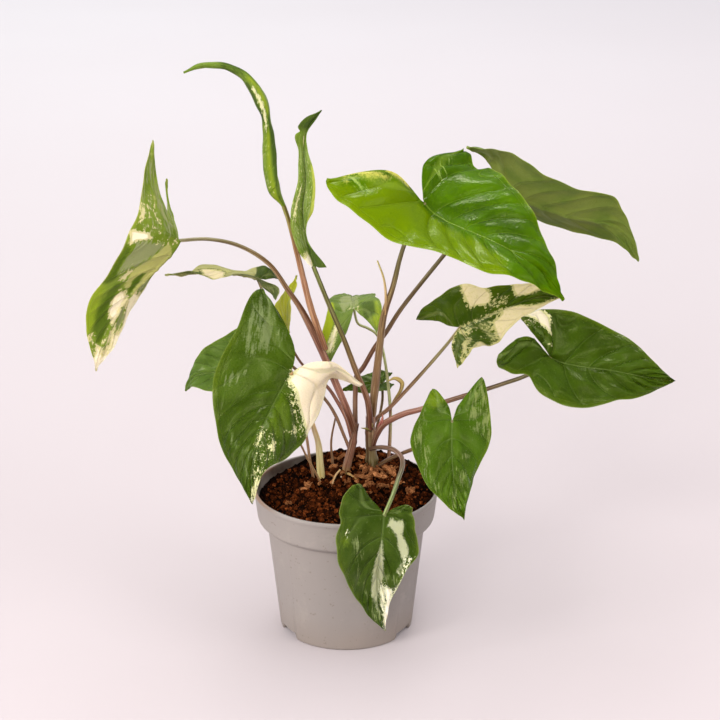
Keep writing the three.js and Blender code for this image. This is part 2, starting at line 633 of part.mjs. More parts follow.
    stalk: {
      colour: COLOUR.olive, radii: [1.5, 1.5, 1.5, 1.4, 1.3],
      route: [[16, 22, 114], [22, 15, 118], [29, 8, 120], [33, 0, 121], [36, -10, 121],
        [36, -22, 120], [33, -36, 117], [29, -51, 112], [24, -63, 105]],
    },
  },
  {
    name: 'leaf_centre', colour: COLOUR.grey, back: [0.62, 0.5], side: [0.34, 0.34],
    width: [0.44, 0.44], wave: 0.5, waves: 3,
    landmarks: {
      joint: [5, 36, 207], middle: [4, 64, 205], tip: [4, 87, 196],
      leftLobe: [-12, 21, 171], leftNotch: [0, 27, 193], leftBack: [-17, 28, 185],
      leftShoulder: [-12, 42, 202], leftSide: [-12, 63, 204], leftPoint: [-2, 78, 202],
      rightLobe: [20, 16, 197], rightNotch: [11, 27, 204], rightBack: [23, 25, 212],
      rightShoulder: [19, 43, 212], rightSide: [19, 64, 207], rightPoint: [10, 78, 200],
    },
    stalk: {
      colour: COLOUR.marbled, radii: [1.2, 1.2, 1.1, 1, 0.9, 0.8],
      route: [[27, 34, 82], [28, 34, 99], [29, 35, 118], [29, 37, 138], [24, 41, 176],
        [20, 44, 186], [14, 45, 190], [8, 42, 194], [5, 36, 207]],
    },
  },
  {
    name: 'leaf_thin_left', colour: COLOUR.marbled, back: [0.36, 0.36], side: [0.26, 0.26],
    width: [0.3, 0.34], wave: 0.6, waves: 3,
    landmarks: {
      joint: [-59, 66, 218], middle: [-88, 64, 223], tip: [-119, 57, 223],
      leftLobe: [-46, 43, 210], leftNotch: [-54, 59, 213], leftBack: [-44, 52, 216],
      leftShoulder: [-66, 49, 225], leftSide: [-87, 52, 222], leftPoint: [-106, 56, 225],
      rightLobe: [-45, 87, 210], rightNotch: [-52, 72, 215], rightBack: [-53, 87, 219],
      rightShoulder: [-69, 85, 216], rightSide: [-94, 78, 223], rightPoint: [-108, 64, 220],
    },
    stalk: {
      colour: COLOUR.tan, radii: [1, 1, 0.9, 0.9],
      route: [[-21, 23, 80], [-22, 23, 95], [-24, 25, 105], [-26, 30, 118], [-33, 42, 148],
        [-46, 56, 188], [-55, 63, 209], [-59, 66, 218]],
    },
  },
  {
    name: 'leaf_dark_left', colour: COLOUR.dark, back: [0.36, 0.36], side: [0.24, 0.24],
    width: [0.42, 0.42], wave: 0.6, waves: 3,
    landmarks: {
      joint: [-58, 26, 180], middle: [-86, 27, 166], tip: [-106, 36, 149],
      leftLobe: [-46, 6, 188], leftNotch: [-55, 18, 184], leftBack: [-52, 4, 176],
      leftShoulder: [-64, 5, 164], leftSide: [-87, 11, 159], leftPoint: [-100, 26, 156],
      rightLobe: [-48, 34, 202], rightNotch: [-55, 27, 189], rightBack: [-59, 40, 197],
      rightShoulder: [-74, 43, 189], rightSide: [-92, 35, 180], rightPoint: [-102, 37, 164],
    },
    stalk: {
      colour: COLOUR.tan, radii: [1.1, 1.1, 1, 1],
      route: [[2, 27, 112], [-2, 31, 121], [-7, 33, 133], [-13, 34, 143], [-31, 33, 164],
        [-45, 29, 176], [-58, 26, 180]],
    },
  },
  {
    name: 'leaf_yellow_back', colour: COLOUR.fresh, back: [0.4, 0.4], side: [0.26, 0.26],
    width: [0.4, 0.4], wave: 0.5, waves: 3,
    landmarks: {
      joint: [-40, 56, 181], middle: [-39, 58, 202], tip: [-33, 62, 221],
      leftLobe: [-53, 67, 173], leftNotch: [-45, 61, 179], leftBack: [-49, 70, 181],
      leftShoulder: [-48, 73, 194], leftSide: [-43, 69, 205], leftPoint: [-36, 66, 214],
      rightLobe: [-46, 40, 175], rightNotch: [-43, 50, 180], rightBack: [-40, 40, 182],
      rightShoulder: [-37, 43, 194], rightSide: [-36, 50, 208], rightPoint: [-33, 59, 214],
    },
    stalk: {
      colour: COLOUR.pink, radii: [1.4, 1.3, 1.1, 0.9, 0.8],
      route: [[4, 27, 118], [0, 31, 132], [-6, 36, 142], [-12, 40, 150], [-29, 49, 163],
        [-36, 54, 173], [-40, 56, 181]],
    },
  },
  {
    name: 'leaf_low_back', colour: COLOUR.dark, back: [0.4, 0.4], side: [0.26, 0.26],
    width: [0.42, 0.42], wave: 0.5, waves: 3,
    landmarks: {
      joint: [24, 60, 146], middle: [12, 58, 145], tip: [-3, 56, 142],
      leftLobe: [32, 53, 147], leftNotch: [27, 58, 147], leftBack: [29, 49, 146],
      leftShoulder: [22, 46, 145], leftSide: [12, 48, 143], leftPoint: [3, 52, 143],
      rightLobe: [31, 70, 149], rightNotch: [27, 64, 147], rightBack: [27, 73, 149],
      rightShoulder: [20, 72, 150], rightSide: [11, 67, 148], rightPoint: [2, 60, 145],
    },
    stalk: {
      colour: COLOUR.olive, radii: [1, 0.9, 0.9],
      route: [[17, 30, 112], [21, 41, 125], [24, 52, 136], [24, 60, 146]],
    },
  },
];

const YOUNG_LEAVES = [
  {
    name: 'leaf_twisted', shape: foldedBladeShape, colour: COLOUR.grey,
    spine: [[-20, -8, 250], [-24, -10, 267], [-26, -11, 287], [-24, -12, 306], [-25, -12, 325],
      [-23, -13, 338], [-14, -14, 350]],
    left: [2, 6, 8, 9.2, 8.4, 7, 5.6, 4.6, 3.7, 7.2, 6, 0.4],
    right: [11, 5, 1, 2.5, 8, 8.4, 7.4, 6, 3.2, 1.2, 1.6, 0.4],
    leans: [148, 37],
    stalk: {
      colour: COLOUR.olive, radii: [2.2, 2, 1.8, 1.6, 1.5, 1.4],
      route: [[16, 23, 128], [14, 17, 150], [7, 12, 171], [-2, 5, 199], [-10, -1, 221], [-20, -8, 250]],
    },
  },
  {
    name: 'leaf_rolled', shape: rolledBladeShape, colour: COLOUR.fresh,
    spine: [[-38, -5, 288], [-43, -6, 298], [-46, -8, 315], [-47, -10, 336], [-49, -12, 350],
      [-55, -14, 364], [-60, -16, 371], [-69, -19, 377], [-78, -22, 379], [-86, -25, 379],
      [-95, -28, 376]],
    radii: [1.3, 4.3, 4.6, 4.2, 3.4, 2.7, 4.2, 3.6, 2.6, 2.2, 1.8, 0.5], twist: 5,
    stalk: {
      colour: COLOUR.tan, radii: [1.9, 2.1, 1.9, 1.6, 1.4],
      route: [[-13, 5, 190], [-22, 0, 220], [-28, -2, 247], [-35, -4, 278], [-38, -5, 288]],
    },
  },
];

// ---------------------------------------------------------------- putting it together
function buildPlant() {
  const plant = new THREE.Group();
  const leaves = [
    ...LEAVES.map((leaf) => ({ ...leaf, shape: bladeShape })),
    ...YOUNG_LEAVES,
  ];
  const blades = leaves.map((leaf) => leaf.shape(leaf));
  const bladeRoom = leaves.map((leaf) => leaf.shape(leaf, leaf.radii ? GAP : 2 * GAP));

  const rooms = [];          // what each standing piece needs, with its gap
  STEMS.forEach((stem) => {
    const shape = stalkShape(stem.route, stem.radii, 0, 10);
    plant.add(toMesh(stem.name, trimmed(shape, rooms), material(stem.colour)));
    rooms.push(stalkShape(stem.route, stem.radii, GAP, 10));
  });
  leaves.forEach(({ name, stalk }) => {
    let shape = stalkShape(stalk.route, stalk.radii);
    let room = stalkShape(stalk.route, stalk.radii, GAP);
    if (stalk.horn) {
      shape = shape.add(stalkShape(stalk.horn.route, stalk.horn.radii));
      room = room.add(stalkShape(stalk.horn.route, stalk.horn.radii, GAP));
    }
    const cut = trimmed(shape, [...rooms, ...bladeRoom]);
    plant.add(toMesh(`${name}_stalk`, cut, material(stalk.colour)));
    rooms.push(room);
  });
  leaves.forEach(({ name, colour }, i) => {
    plant.add(toMesh(`${name}_blade`, blades[i], material(colour, 0.35)));
  });
  plant.add(toMesh('soil', trimmed(soilShape(), rooms), material(COLOUR.soil, 0.95)));
  plant.add(toMesh('pot', potShape(), material(COLOUR.pot, 0.55)));
  return plant;
}

export default buildPlant();
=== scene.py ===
# %% [markdown]
# # A variegated arrowhead plant in its pot
#
# An arrowhead plant has leaves shaped like an arrowhead: a long tip, and two lobes that
# point back past the place where the stalk joins. Dark green, grey-green and cream share
# each blade in streaks and patches, because only some of its cells make green pigment.
#
# The plant's solids are already fixed in a frame, in metres, with Z up. Each cell below
# makes one finer piece where the frame holds the plain one, so nothing has to be fitted
# afterwards. The first step loads the frame and measures it.

# %% Load the frame
import math

import bmesh
import bpy
import numpy as np
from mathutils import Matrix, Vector


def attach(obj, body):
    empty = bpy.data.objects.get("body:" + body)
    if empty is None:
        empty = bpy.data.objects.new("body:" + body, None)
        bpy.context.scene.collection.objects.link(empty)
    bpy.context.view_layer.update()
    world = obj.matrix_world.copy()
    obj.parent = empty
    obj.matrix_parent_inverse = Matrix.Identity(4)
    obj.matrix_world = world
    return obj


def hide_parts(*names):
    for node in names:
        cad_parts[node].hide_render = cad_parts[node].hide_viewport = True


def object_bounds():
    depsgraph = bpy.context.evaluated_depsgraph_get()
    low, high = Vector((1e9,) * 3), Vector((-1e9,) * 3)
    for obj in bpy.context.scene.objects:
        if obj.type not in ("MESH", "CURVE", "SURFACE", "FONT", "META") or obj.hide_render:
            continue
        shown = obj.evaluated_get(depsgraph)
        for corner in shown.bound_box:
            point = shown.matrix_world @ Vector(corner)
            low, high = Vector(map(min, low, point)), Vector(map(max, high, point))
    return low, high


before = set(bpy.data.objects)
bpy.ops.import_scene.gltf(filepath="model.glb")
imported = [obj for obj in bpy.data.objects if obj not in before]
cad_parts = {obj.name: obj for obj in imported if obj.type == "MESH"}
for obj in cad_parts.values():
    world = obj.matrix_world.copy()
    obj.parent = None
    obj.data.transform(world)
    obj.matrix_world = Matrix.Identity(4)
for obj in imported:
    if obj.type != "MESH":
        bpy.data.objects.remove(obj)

MM = 0.001
TURN = 2 * math.pi
cad_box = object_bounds()
plant_size = cad_box[1] - cad_box[0]
print("frame:", len(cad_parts), "solids,", [round(side, 3) for side in plant_size], "m")


# %% [markdown]
# ## The camera
#
# A potted plant is usually looked at from a little above, so that the soil shows as an
# ellipse inside the rim. A long lens from 1.4 m away keeps the leaves in proportion. A
# wide lens close by would make the near leaves look too large.

# %% Camera
CAMERA_PLACE = (9.1 * MM, -1215.1 * MM, 638.8 * MM)
LOOKS_DOWN = math.radians(20.5)
LENS, SENSOR = 102.08, 36    # the lens and the width of the sensor, in millimetres

camera = bpy.data.objects.new("camera", bpy.data.cameras.new("camera"))
camera.location = CAMERA_PLACE
camera.rotation_euler = (math.pi / 2 - LOOKS_DOWN, 0, 0)
camera.data.lens = LENS
camera.data.sensor_width = SENSOR
bpy.context.collection.objects.link(camera)
bpy.context.scene.camera = camera
print("camera looks down", round(math.degrees(LOOKS_DOWN), 1), "degrees")


# %% [markdown]
# ## Making a material
#
# Every finish here is a small graph of nodes that ends in one Principled shader. Typing
# out each node and link hides the idea, so a helper class holds the graph and gives the
# few steps that the finishes need: mix two colours, compare a value with a level, add
# noise, and raise a bump. The room's light is a graph too, so the steps stand in a class
# of their own, and a material adds its shader to them. Colours are written as on a paint
# card, in hex, and turned into the linear values that a renderer works with.

# %% A paint helper
def linear(hex_colour):
    """A paint card's hex colour as linear red, green, blue and alpha."""
    parts = [int(hex_colour[i:i + 2], 16) / 255 for i in (0, 2, 4)]
    return [c / 12.92 if c <= 0.04045 else ((c + 0.055) / 1.055) ** 2.4 for c in parts] + [1]


class Graph:
    """A graph of nodes under construction. Its steps return sockets that later steps use."""

    def __init__(self, tree):
        self.tree = tree

    def node(self, kind, *values, **settings):
        """A new node. Values go to its first inputs, and settings to the inputs and options named."""
        made = self.tree.nodes.new(kind)
        for socket, value in zip(made.inputs, values):
            self.feed(socket, value)
        for key, value in settings.items():
            if key in made.inputs:
                self.feed(made.inputs[key], value)
            else:
                setattr(made, key, value)
        return made

    def feed(self, socket, value):
        if isinstance(value, bpy.types.NodeSocket):
            self.tree.links.new(value, socket)
        elif isinstance(value, str):
            socket.default_value = linear(value)
        else:
            socket.default_value = value

    def measured(self, name):
        """A number that the mesh carries at each point."""
        return self.node("ShaderNodeAttribute", attribute_name=name).outputs["Fac"]

    def carried(self, name):
        """A vector or colour that the mesh carries at each point."""
        return self.node("ShaderNodeAttribute", attribute_name=name).outputs["Vector"]

    def place(self):
        """The point's place on the piece, in metres."""
        return self.node("ShaderNodeTexCoord").outputs["Object"]

    def split(self, vector):
        """The three numbers of a vector."""
        return self.node("ShaderNodeSeparateXYZ", vector).outputs

    def vector(self, operation, first, second):
        return self.node("ShaderNodeVectorMath", first, second, operation=operation)

    def stretch(self, vector, scale):
        return self.vector("MULTIPLY", vector, scale).outputs["Vector"]

    def math(self, operation, first, second=0.0):
        return self.node("ShaderNodeMath", first, second, operation=operation).outputs[0]

    def times(self, first, second):
        return self.math("MULTIPLY", first, second)

    def plus(self, first, second):
        return self.math("ADD", first, second)

    def minus(self, first, second):
        return self.math("SUBTRACT", first, second)

    def noise(self, vector, scale, detail=3.0, roughness=0.55):
        made = self.node("ShaderNodeTexNoise", Vector=vector, Scale=scale, Detail=detail,
                         Roughness=roughness)
        return made.outputs["Fac"]

    def cells(self, vector, scale):
        """The distance to the nearest wall between cells of random shape."""
        made = self.node("ShaderNodeTexVoronoi", Vector=vector, Scale=scale, feature="DISTANCE_TO_EDGE")
        return made.outputs["Distance"]

    def step(self, value, low, high, start=0.0, end=1.0):
        """The start below low, the end above high, and smooth between."""
        made = self.node("ShaderNodeMapRange", value, low, high, start, end,
                         interpolation_type="SMOOTHSTEP")
        return made.outputs["Result"]

    def mix(self, share, first, second, blend="MIX"):
        made = self.node("ShaderNodeMix", share, data_type="RGBA", blend_type=blend)
        self.feed(made.inputs[6], first)
        self.feed(made.inputs[7], second)
        return made.outputs[2]

    def bump(self, height, distance, strength=1.0, below=None):
        made = self.node("ShaderNodeBump", Height=height, Distance=distance, Strength=strength)
        if below is not None:
            self.feed(made.inputs["Normal"], below)
        return made.outputs["Normal"]


class Paint(Graph):
    """A material under construction: a graph that ends in one shader."""

    def __init__(self, name, roughness=0.5, specular=0.5):
        self.material = bpy.data.materials.new(name)
        self.material.use_nodes = True
        super().__init__(self.material.node_tree)
        self.shader = self.tree.nodes["Principled BSDF"]
        self.shade("Roughness", roughness)
        self.shade("Specular IOR Level", specular)

    def shade(self, name, value):
        self.feed(self.shader.inputs[name], value)

    def finish(self, colour, roughness=None, normal=None):
        self.shade("Base Color", colour)
        if roughness is not None:
            self.shade("Roughness", roughness)
        if normal is not None:
            self.shade("Normal", normal)
        return self.material


print("cream in linear light:", [round(c, 3) for c in linear("EFE3CB")])


# %% [markdown]
# ## Studio floor and light
#
# The plant stands on a pale sheet of paper. Light is painted on it: the paper is darker and
# warm at the front, nearly white far behind, and lighter there on the left, where the soft
# lamp stands. The camera looks down, so a large flat floor fills the picture and no wall is
# needed. The light is a small studio's: a soft lamp on the left, others in front, on the
# right, above and behind to open the shadows, and a room that is brightest above and behind.
# Waxy leaves mirror all of that, and would look grey. So the room is dim in reflections, only
# some lamps show in them, and two small glint lamps show nowhere else.

# %% Floor, lamps and room
FLOOR_HALF = 9.0
LAMP_COLOUR = (1.0, 0.98, 0.96)
LAMPS = {                    # place, size across and watts, all pointed at the plant
    "key_lamp": ((-1.6, -1.1, 1.3), 0.7, 22),
    "front_lamp": ((-0.4, -1.9, 1.2), 0.9, 33),
    "fill_lamp": ((1.7, -1.1, 1.2), 0.9, 17),
    "top_lamp": ((-0.3, 0.2, 2.3), 1.2, 7),
    "back_lamp": ((0.3, 1.6, 1.7), 1.2, 10),
    "glint_lamp_back": ((-0.02, 0.75, 1.85), 0.3, 20),
    "glint_lamp_front": ((-0.05, -1.05, 1.55), 0.26, 10),
}
LAMP_TARGET = (0.0, 0.0, 0.2)
MIRRORED_LAMPS = ("key_lamp", "fill_lamp", "glint_lamp_back", "glint_lamp_front")
ROOM_COLOUR = "F4F0F2"
ROOM_STRENGTH = 1.22
ROOM_DARK = 0.26             # the side the camera stands on is hardly lit
ROOM_BRIGHT_SIDE = (-0.1, 0.62, 0.78)
ROOM_MIRRORED = 0.3          # glossy leaves see black cloth round the lamps, not a bright room


def floor_paper():
    paint = Paint("studio_paper", roughness=0.9)
    x, y, _ = paint.split(paint.place())
    # painted light: the paper is darker and warmer at the front and lighter far behind, and far behind it is
    # lighter on the left, where the soft lamp stands
    far = paint.step(y, -0.4, 3.0)
    left = paint.step(x, 0.6, -0.6)
    blotches = paint.noise(paint.place(), 2.2, 2.0)
    paper = paint.mix(far, "B9B0B2", paint.mix(left, "DAD9DD", "E7E8EB"))
    soft = paint.mix(paint.times(blotches, 0.12), paper, "B4A8A9")
    return paint.finish(soft)


def make_mesh(name, points, faces, material):
    mesh = bpy.data.meshes.new(name)
    mesh.from_pydata([tuple(p) for p in points], [], [tuple(f) for f in faces])
    mesh.materials.append(material)
    made = bpy.data.objects.new(name, mesh)
    bpy.context.collection.objects.link(made)
    return made


floor_corners = [(x * FLOOR_HALF, y * FLOOR_HALF, 0) for x, y in ((-1, -1), (1, -1), (1, 1), (-1, 1))]
floor = make_mesh("floor", floor_corners, [(0, 1, 2, 3)], floor_paper())

for lamp_name, (place, across, watts) in LAMPS.items():
    lamp = bpy.data.objects.new(lamp_name, bpy.data.lights.new(lamp_name, "AREA"))
    lamp.data.size = across
    lamp.data.energy = watts
    lamp.data.color = LAMP_COLOUR
    lamp.visible_glossy = lamp_name in MIRRORED_LAMPS
    lamp.visible_diffuse = not lamp_name.startswith("glint")
    lamp.location = place
    lamp.rotation_euler = (Vector(place) - Vector(LAMP_TARGET)).to_track_quat("Z", "Y").to_euler()
    bpy.context.collection.objects.link(lamp)


def make_room():
    """A world that is bright above and behind the plant, and dim in reflections."""
    room = bpy.data.worlds.new("room")
    room.use_nodes = True
    sky = Graph(room.node_tree)
    looking = sky.node("ShaderNodeTexCoord").outputs["Generated"]
    toward = sky.vector("DOT_PRODUCT", looking, ROOM_BRIGHT_SIDE).outputs["Value"]
    brightness = sky.step(toward, -0.7, 0.6, ROOM_DARK, ROOM_STRENGTH)
    glossy_ray = sky.node("ShaderNodeLightPath").outputs["Is Glossy Ray"]
    mirrored = sky.step(glossy_ray, 0.0, 1.0, 1.0, ROOM_MIRRORED)
    background = room.node_tree.nodes["Background"]
    sky.feed(background.inputs["Strength"], sky.times(brightness, mirrored))
    sky.feed(background.inputs["Color"], ROOM_COLOUR)
    return room


bpy.context.scene.world = make_room()
bpy.context.scene.view_settings.view_transform = "Standard"
print("lamps:", ", ".join(LAMPS))


# %% [markdown]
# ## The pot
#
# A nursery pot is thin moulded plastic: a tapering body, a straight band under the rim
# that lets pots stack, a raised floor with drain holes, and a foot with three notches for
# the water. All of it is round, so a profile turned round the Z axis is the natural way
# to make it. The notches lift the foot where they are, and the holes are left out of the
# floor's faces, which keeps every edge clean. The plastic is a warm grey, with dust, and
# with soil stains at the foot and the rim. Light is painted on it too: it is a little paler
# on the left, where the light comes from.

# %% Turned shapes
def smooth_line(corners, steps):
    """Points on an even Catmull-Rom curve through the corners, at steps from 0 to 1."""
    corners = np.asarray(corners, float)
    last = len(corners) - 1
    slot = np.clip(np.atleast_1d(steps), 0, 1) * last
    low = np.minimum(slot.astype(int), last - 1)
    part = slot - low
    if corners.ndim == 2:
        part = part[:, None]
    before = corners[np.maximum(low - 1, 0)]
    start = corners[low]
    end = corners[low + 1]
    after = corners[np.minimum(low + 2, last)]
    leave = (end - before) / 2
    arrive = (after - start) / 2
    return ((2 * start - 2 * end + leave + arrive) * part ** 3
            + (3 * end - 3 * start - 2 * leave - arrive) * part ** 2 + leave * part + start)


def rounded(profile, radius=0.5, steps=3):
    """The profile with each corner replaced by a short arc of about that radius."""
    profile = np.asarray(profile, float)
    made = [profile[0]]
    for before, here, after in zip(profile, profile[1:], profile[2:]):
        start, end = (here + side * min(radius / np.linalg.norm(side), 0.45)
                      for side in (before - here, after - here))
        for i in range(steps + 1):
            share = i / steps
            made.append((1 - share) ** 2 * start + 2 * share * (1 - share) * here
                        + share ** 2 * end)
    made.append(profile[-1])
    return np.array(made)


RIM_R, POT_H, FOOT_R, NECK_R, WALL = 60, 97, 43.6, 51.5, 1.5
COLLAR_Z = POT_H - 19
FLOOR_Z = 5.5
NOTCH_WIDE, NOTCH_HIGH, NOTCHES = 18, 4.8, 3
DRAIN_RADIUS, DRAIN_CIRCLE, DRAINS = 4, 32.5, 8
DRILLED_IN, DRILLED_OUT = 8.5, 8.9      # how far the floor reaches from the drain circle
DISC_R = 23.9

pot_outside = rounded([
    (FOOT_R - 2.8, FLOOR_Z), (FOOT_R - 2.2, 0), (FOOT_R - 0.8, 0), (FOOT_R, 0.8),
    (NECK_R, COLLAR_Z - 4.5), (NECK_R + 1.2, COLLAR_Z - 3.2), (NECK_R + 4, COLLAR_Z - 2.4),
    (NECK_R + 5.8, COLLAR_Z - 0.8), (NECK_R + 6.3, COLLAR_Z + 1.5),
    (RIM_R - 0.5, POT_H - 3.2), (RIM_R, POT_H - 2.4), (RIM_R, POT_H - 0.8), (RIM_R - 0.6, POT_H),
    (RIM_R - 1.7, POT_H), (RIM_R - 2.1, POT_H - 0.8), (NECK_R + 4.6, COLLAR_Z + 1.5),
    (NECK_R + 3.6, COLLAR_Z - 0.4), (NECK_R - 0.4, COLLAR_Z - 1.6),
    (NECK_R - WALL, COLLAR_Z - 4.5), (FOOT_R - 1.3, FLOOR_Z + WALL), (38.5, FLOOR_Z + WALL),
], 0.9)
print("pot profile:", len(pot_outside), "points")


# %% Pot mesh
POT_SIDES, DISC_SIDES, HOLE_SIDES = 240, 96, 20


def in_notch(angle, edge=0.06):
    """How far a notch of the foot has opened at this angle, 0 to 1."""
    spacing = TURN / NOTCHES
    off = (angle - TURN / 4 + spacing / 2) % spacing - spacing / 2
    half = NOTCH_WIDE / 2 / FOOT_R
    return np.clip((half - np.abs(off)) / (edge * half) + 0.5, 0, 1)


def pot_points():
    angles = np.arange(POT_SIDES) * TURN / POT_SIDES
    lift = in_notch(angles)[:, None]
    radius = np.repeat(pot_outside[None, :, 0], POT_SIDES, 0)
    height = np.repeat(pot_outside[None, :, 1], POT_SIDES, 0)
    height = np.where(height < NOTCH_HIGH, height + (NOTCH_HIGH - height) * lift, height)
    return np.stack([radius * np.cos(angles)[:, None], radius * np.sin(angles)[:, None], height], -1)


def ring_faces(rings, sides, offset=0):
    """Quads between closed rings of points that are stored ring by ring."""
    faces = []
    for low in range(offset, offset + (rings - 1) * sides, sides):
        for side in range(sides):
            after = (side + 1) % sides
            faces.append((low + side, low + after, low + sides + after, low + sides + side))
    return faces


def pot_floor():
    """The raised floor with its drain holes, as two sheets joined at the holes' walls."""
    points = []
    faces = []
    sector = TURN / DRAINS
    for hole in range(DRAINS):
        middle = (hole + 0.5) * sector
        centre = np.array([math.cos(middle), math.sin(middle)]) * DRAIN_CIRCLE
        start = len(points)
        for level in (FLOOR_Z, FLOOR_Z + WALL):
            for i in range(HOLE_SIDES):
                angle = middle + i * TURN / HOLE_SIDES
                ray = np.array([math.cos(angle), math.sin(angle)])
                points.append((*(centre + ray * DRAIN_RADIUS), level))
            for i in range(HOLE_SIDES):
                angle = i * TURN / HOLE_SIDES
                reach_in = 1 / max(abs(math.cos(angle)), abs(math.sin(angle)))
                along = math.cos(angle) * reach_in
                across = math.sin(angle) * reach_in
                radius = DRAIN_CIRCLE + along * (DRILLED_IN if along < 0 else DRILLED_OUT)
                turned = middle + across * sector / 2
                points.append((radius * math.cos(turned), radius * math.sin(turned), level))
        below, above = start, start + 2 * HOLE_SIDES
        for i in range(HOLE_SIDES):
            j = (i + 1) % HOLE_SIDES
            faces.append((below + i, below + j, below + HOLE_SIDES + j, below + HOLE_SIDES + i))
            faces.append((above + j, above + i, above + HOLE_SIDES + i, above + HOLE_SIDES + j))
            faces.append((below + j, below + i, above + i, above + j))
    return points, faces


def pot_disc():
    """The middle of the floor, which comes down to the ground."""
    under = rounded([(0.3, 0), (16, 0), (DISC_R, FLOOR_Z)], 1.2)
    over = rounded([(DISC_R, FLOOR_Z + WALL), (15.4, WALL), (0.3, WALL)], 1.2)
    profile = np.vstack([under, over])
    angles = np.arange(DISC_SIDES) * TURN / DISC_SIDES
    points = [(r * math.cos(a), r * math.sin(a), z) for r, z in profile for a in angles]
    return points, ring_faces(len(profile), DISC_SIDES)


def pot_plastic():
    paint = Paint("pot_plastic", roughness=0.55)
    place = paint.place()
    cloudy = paint.noise(place, 18, 4.0)
    streaks = paint.noise(paint.stretch(place, (1, 1, 0.12)), 110, 3.0)
    dust = paint.step(paint.noise(place, 46, 5.0, 0.7), 0.56, 0.72)
    x, _, z = paint.split(place)
    # painted light: the left side of the pot is painted paler, where the soft lamp on the left lights it
    painted_light_side = paint.step(x, 0.055, -0.055)
    base = paint.mix(painted_light_side, paint.mix(cloudy, "75706D", "847D79"), paint.mix(cloudy, "8C8580", "9A928C"))
    streaked = paint.mix(paint.times(streaks, 0.35), base, "968D86")
    dusty = paint.mix(paint.times(dust, 0.22), streaked, "AAA196")
    foot = paint.step(z, 0.03, 0.0)
    stained = paint.mix(paint.times(foot, paint.times(cloudy, 0.5)), dusty, "87725F")
    from_axis = paint.vector("LENGTH", paint.stretch(place, (1, 1, 0)), (0, 0, 0)).outputs["Value"]
    inside = paint.times(paint.step(from_axis, 0.0583, 0.0578), paint.step(z, 0.084, 0.093))
    stained = paint.mix(paint.times(inside, paint.step(cloudy, 0.35, 0.6)), stained, "4C3A2C")
    rim_left = paint.times(paint.step(x, -0.040, -0.056), paint.step(z, 0.0945, 0.0965))
    stained = paint.mix(paint.times(rim_left, 0.55), stained, "8A5A30")
    specks = paint.step(paint.noise(place, 420, 1.0), 0.70, 0.74)
    marked = paint.mix(paint.times(specks, 0.4), stained, "6E5E52")
    grain = paint.bump(paint.noise(place, 900, 2.0), 0.00006)
    flow = paint.bump(cloudy, 0.0006, 0.5, grain)
    gloss = paint.plus(0.45, paint.times(cloudy, 0.22))
    return paint.finish(marked, gloss, flow)


def joined(*parts):
    """Several parts as one: points, faces, and each thing that the points carry after them."""
    points = []
    faces = []
    for part in parts:
        start = len(points)
        points.extend(tuple(p) for p in part[0])
        faces.extend(tuple(start + i for i in face) for face in part[1])
    carried = [np.concatenate(fields) for fields in zip(*(part[2:] for part in parts))]
    return np.array(points), faces, *carried


def settle(piece, node, sharp=None):
    """Smooths the piece, hangs it under the root body, and hides the CAD node it replaces, if any."""
    piece.data.shade_smooth()
    if sharp is not None:
        piece.data.set_sharp_from_angle(angle=math.radians(sharp))
    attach(piece, "root")
    if node is not None:
        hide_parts(node)
    return piece


def face_count(*pieces):
    return sum(len(piece.data.polygons) for piece in pieces)


wall_points = pot_points().transpose(1, 0, 2).reshape(-1, 3)
wall_faces = ring_faces(len(pot_outside), POT_SIDES)
points, faces = joined((wall_points, wall_faces), pot_floor(), pot_disc())
pot = make_mesh("nursery_pot", points * MM, faces, pot_plastic())
settle(pot, "pot", 40)
print("pot:", face_count(pot), "faces")


# %% [markdown]
# ## The soil
#
# Potting soil for such a plant is dark, moist peat with lumps, crumbs and pale pieces of
# bark, pushed up a little against the rim behind the stems. A bumpy sheet alone looks like
# cloth, and single grains alone would need millions. So the body is one sheet with ridged
# noise worked into its height, over two thousand crumbs and clods lie half sunk in it, and
# bark chips and shreds of old sheath lie where the stems come up.

# %% Soil surface
SOIL_Z, SOIL_R, OFF_FLOOR = 90, 56.5, 0.6
CROWN_X, CROWN_Y, CROWN_HIGH, CROWN_SPREAD = 10, 31, 9, 24
SOIL_RINGS, SOIL_SIDES = 110, 220
soil_chance = np.random.default_rng(7)


def fade(value, low, high):
    """0 at low, 1 at high, and smooth between."""
    share = np.clip((value - low) / (high - low), 0, 1)
    return share * share * (3 - 2 * share)


def heap(x, y):
    """The same gentle heap and crumbs as the solid's, in millimetres."""
    crown = np.exp(-((x - CROWN_X) ** 2 + (y - CROWN_Y) ** 2) / (2 * CROWN_SPREAD ** 2))
    crumbs = (0.7 * np.sin(x * 0.61 + 1) * np.sin(y * 0.53) + 0.4 * np.sin(x * 1.3 + y * 0.9)
              + 0.3 * np.sin(y * 1.7 - x * 0.8 + 2))
    return SOIL_Z + CROWN_HIGH * crown + crumbs


def ground(x, y):
    """The heap, pushed up against the rim behind the stems and right of them."""
    return heap(x, y) + 4.6 * fade(0.45 * x + 0.9 * y, 14, 50)


SOIL_WAVES = soil_chance.normal(size=(40, 4))


def lumps(x, y):
    """Ridged noise: many waves of random direction, folded at zero."""
    total = np.zeros_like(x)
    for i, (dx, dy, phase, _) in enumerate(SOIL_WAVES):
        fineness = 0.5 + 0.09 * i
        total += np.abs(np.sin((x * dx + y * dy) * fineness + phase * 3)) / (1 + 0.12 * i)
    return total * 0.24 - 2.9


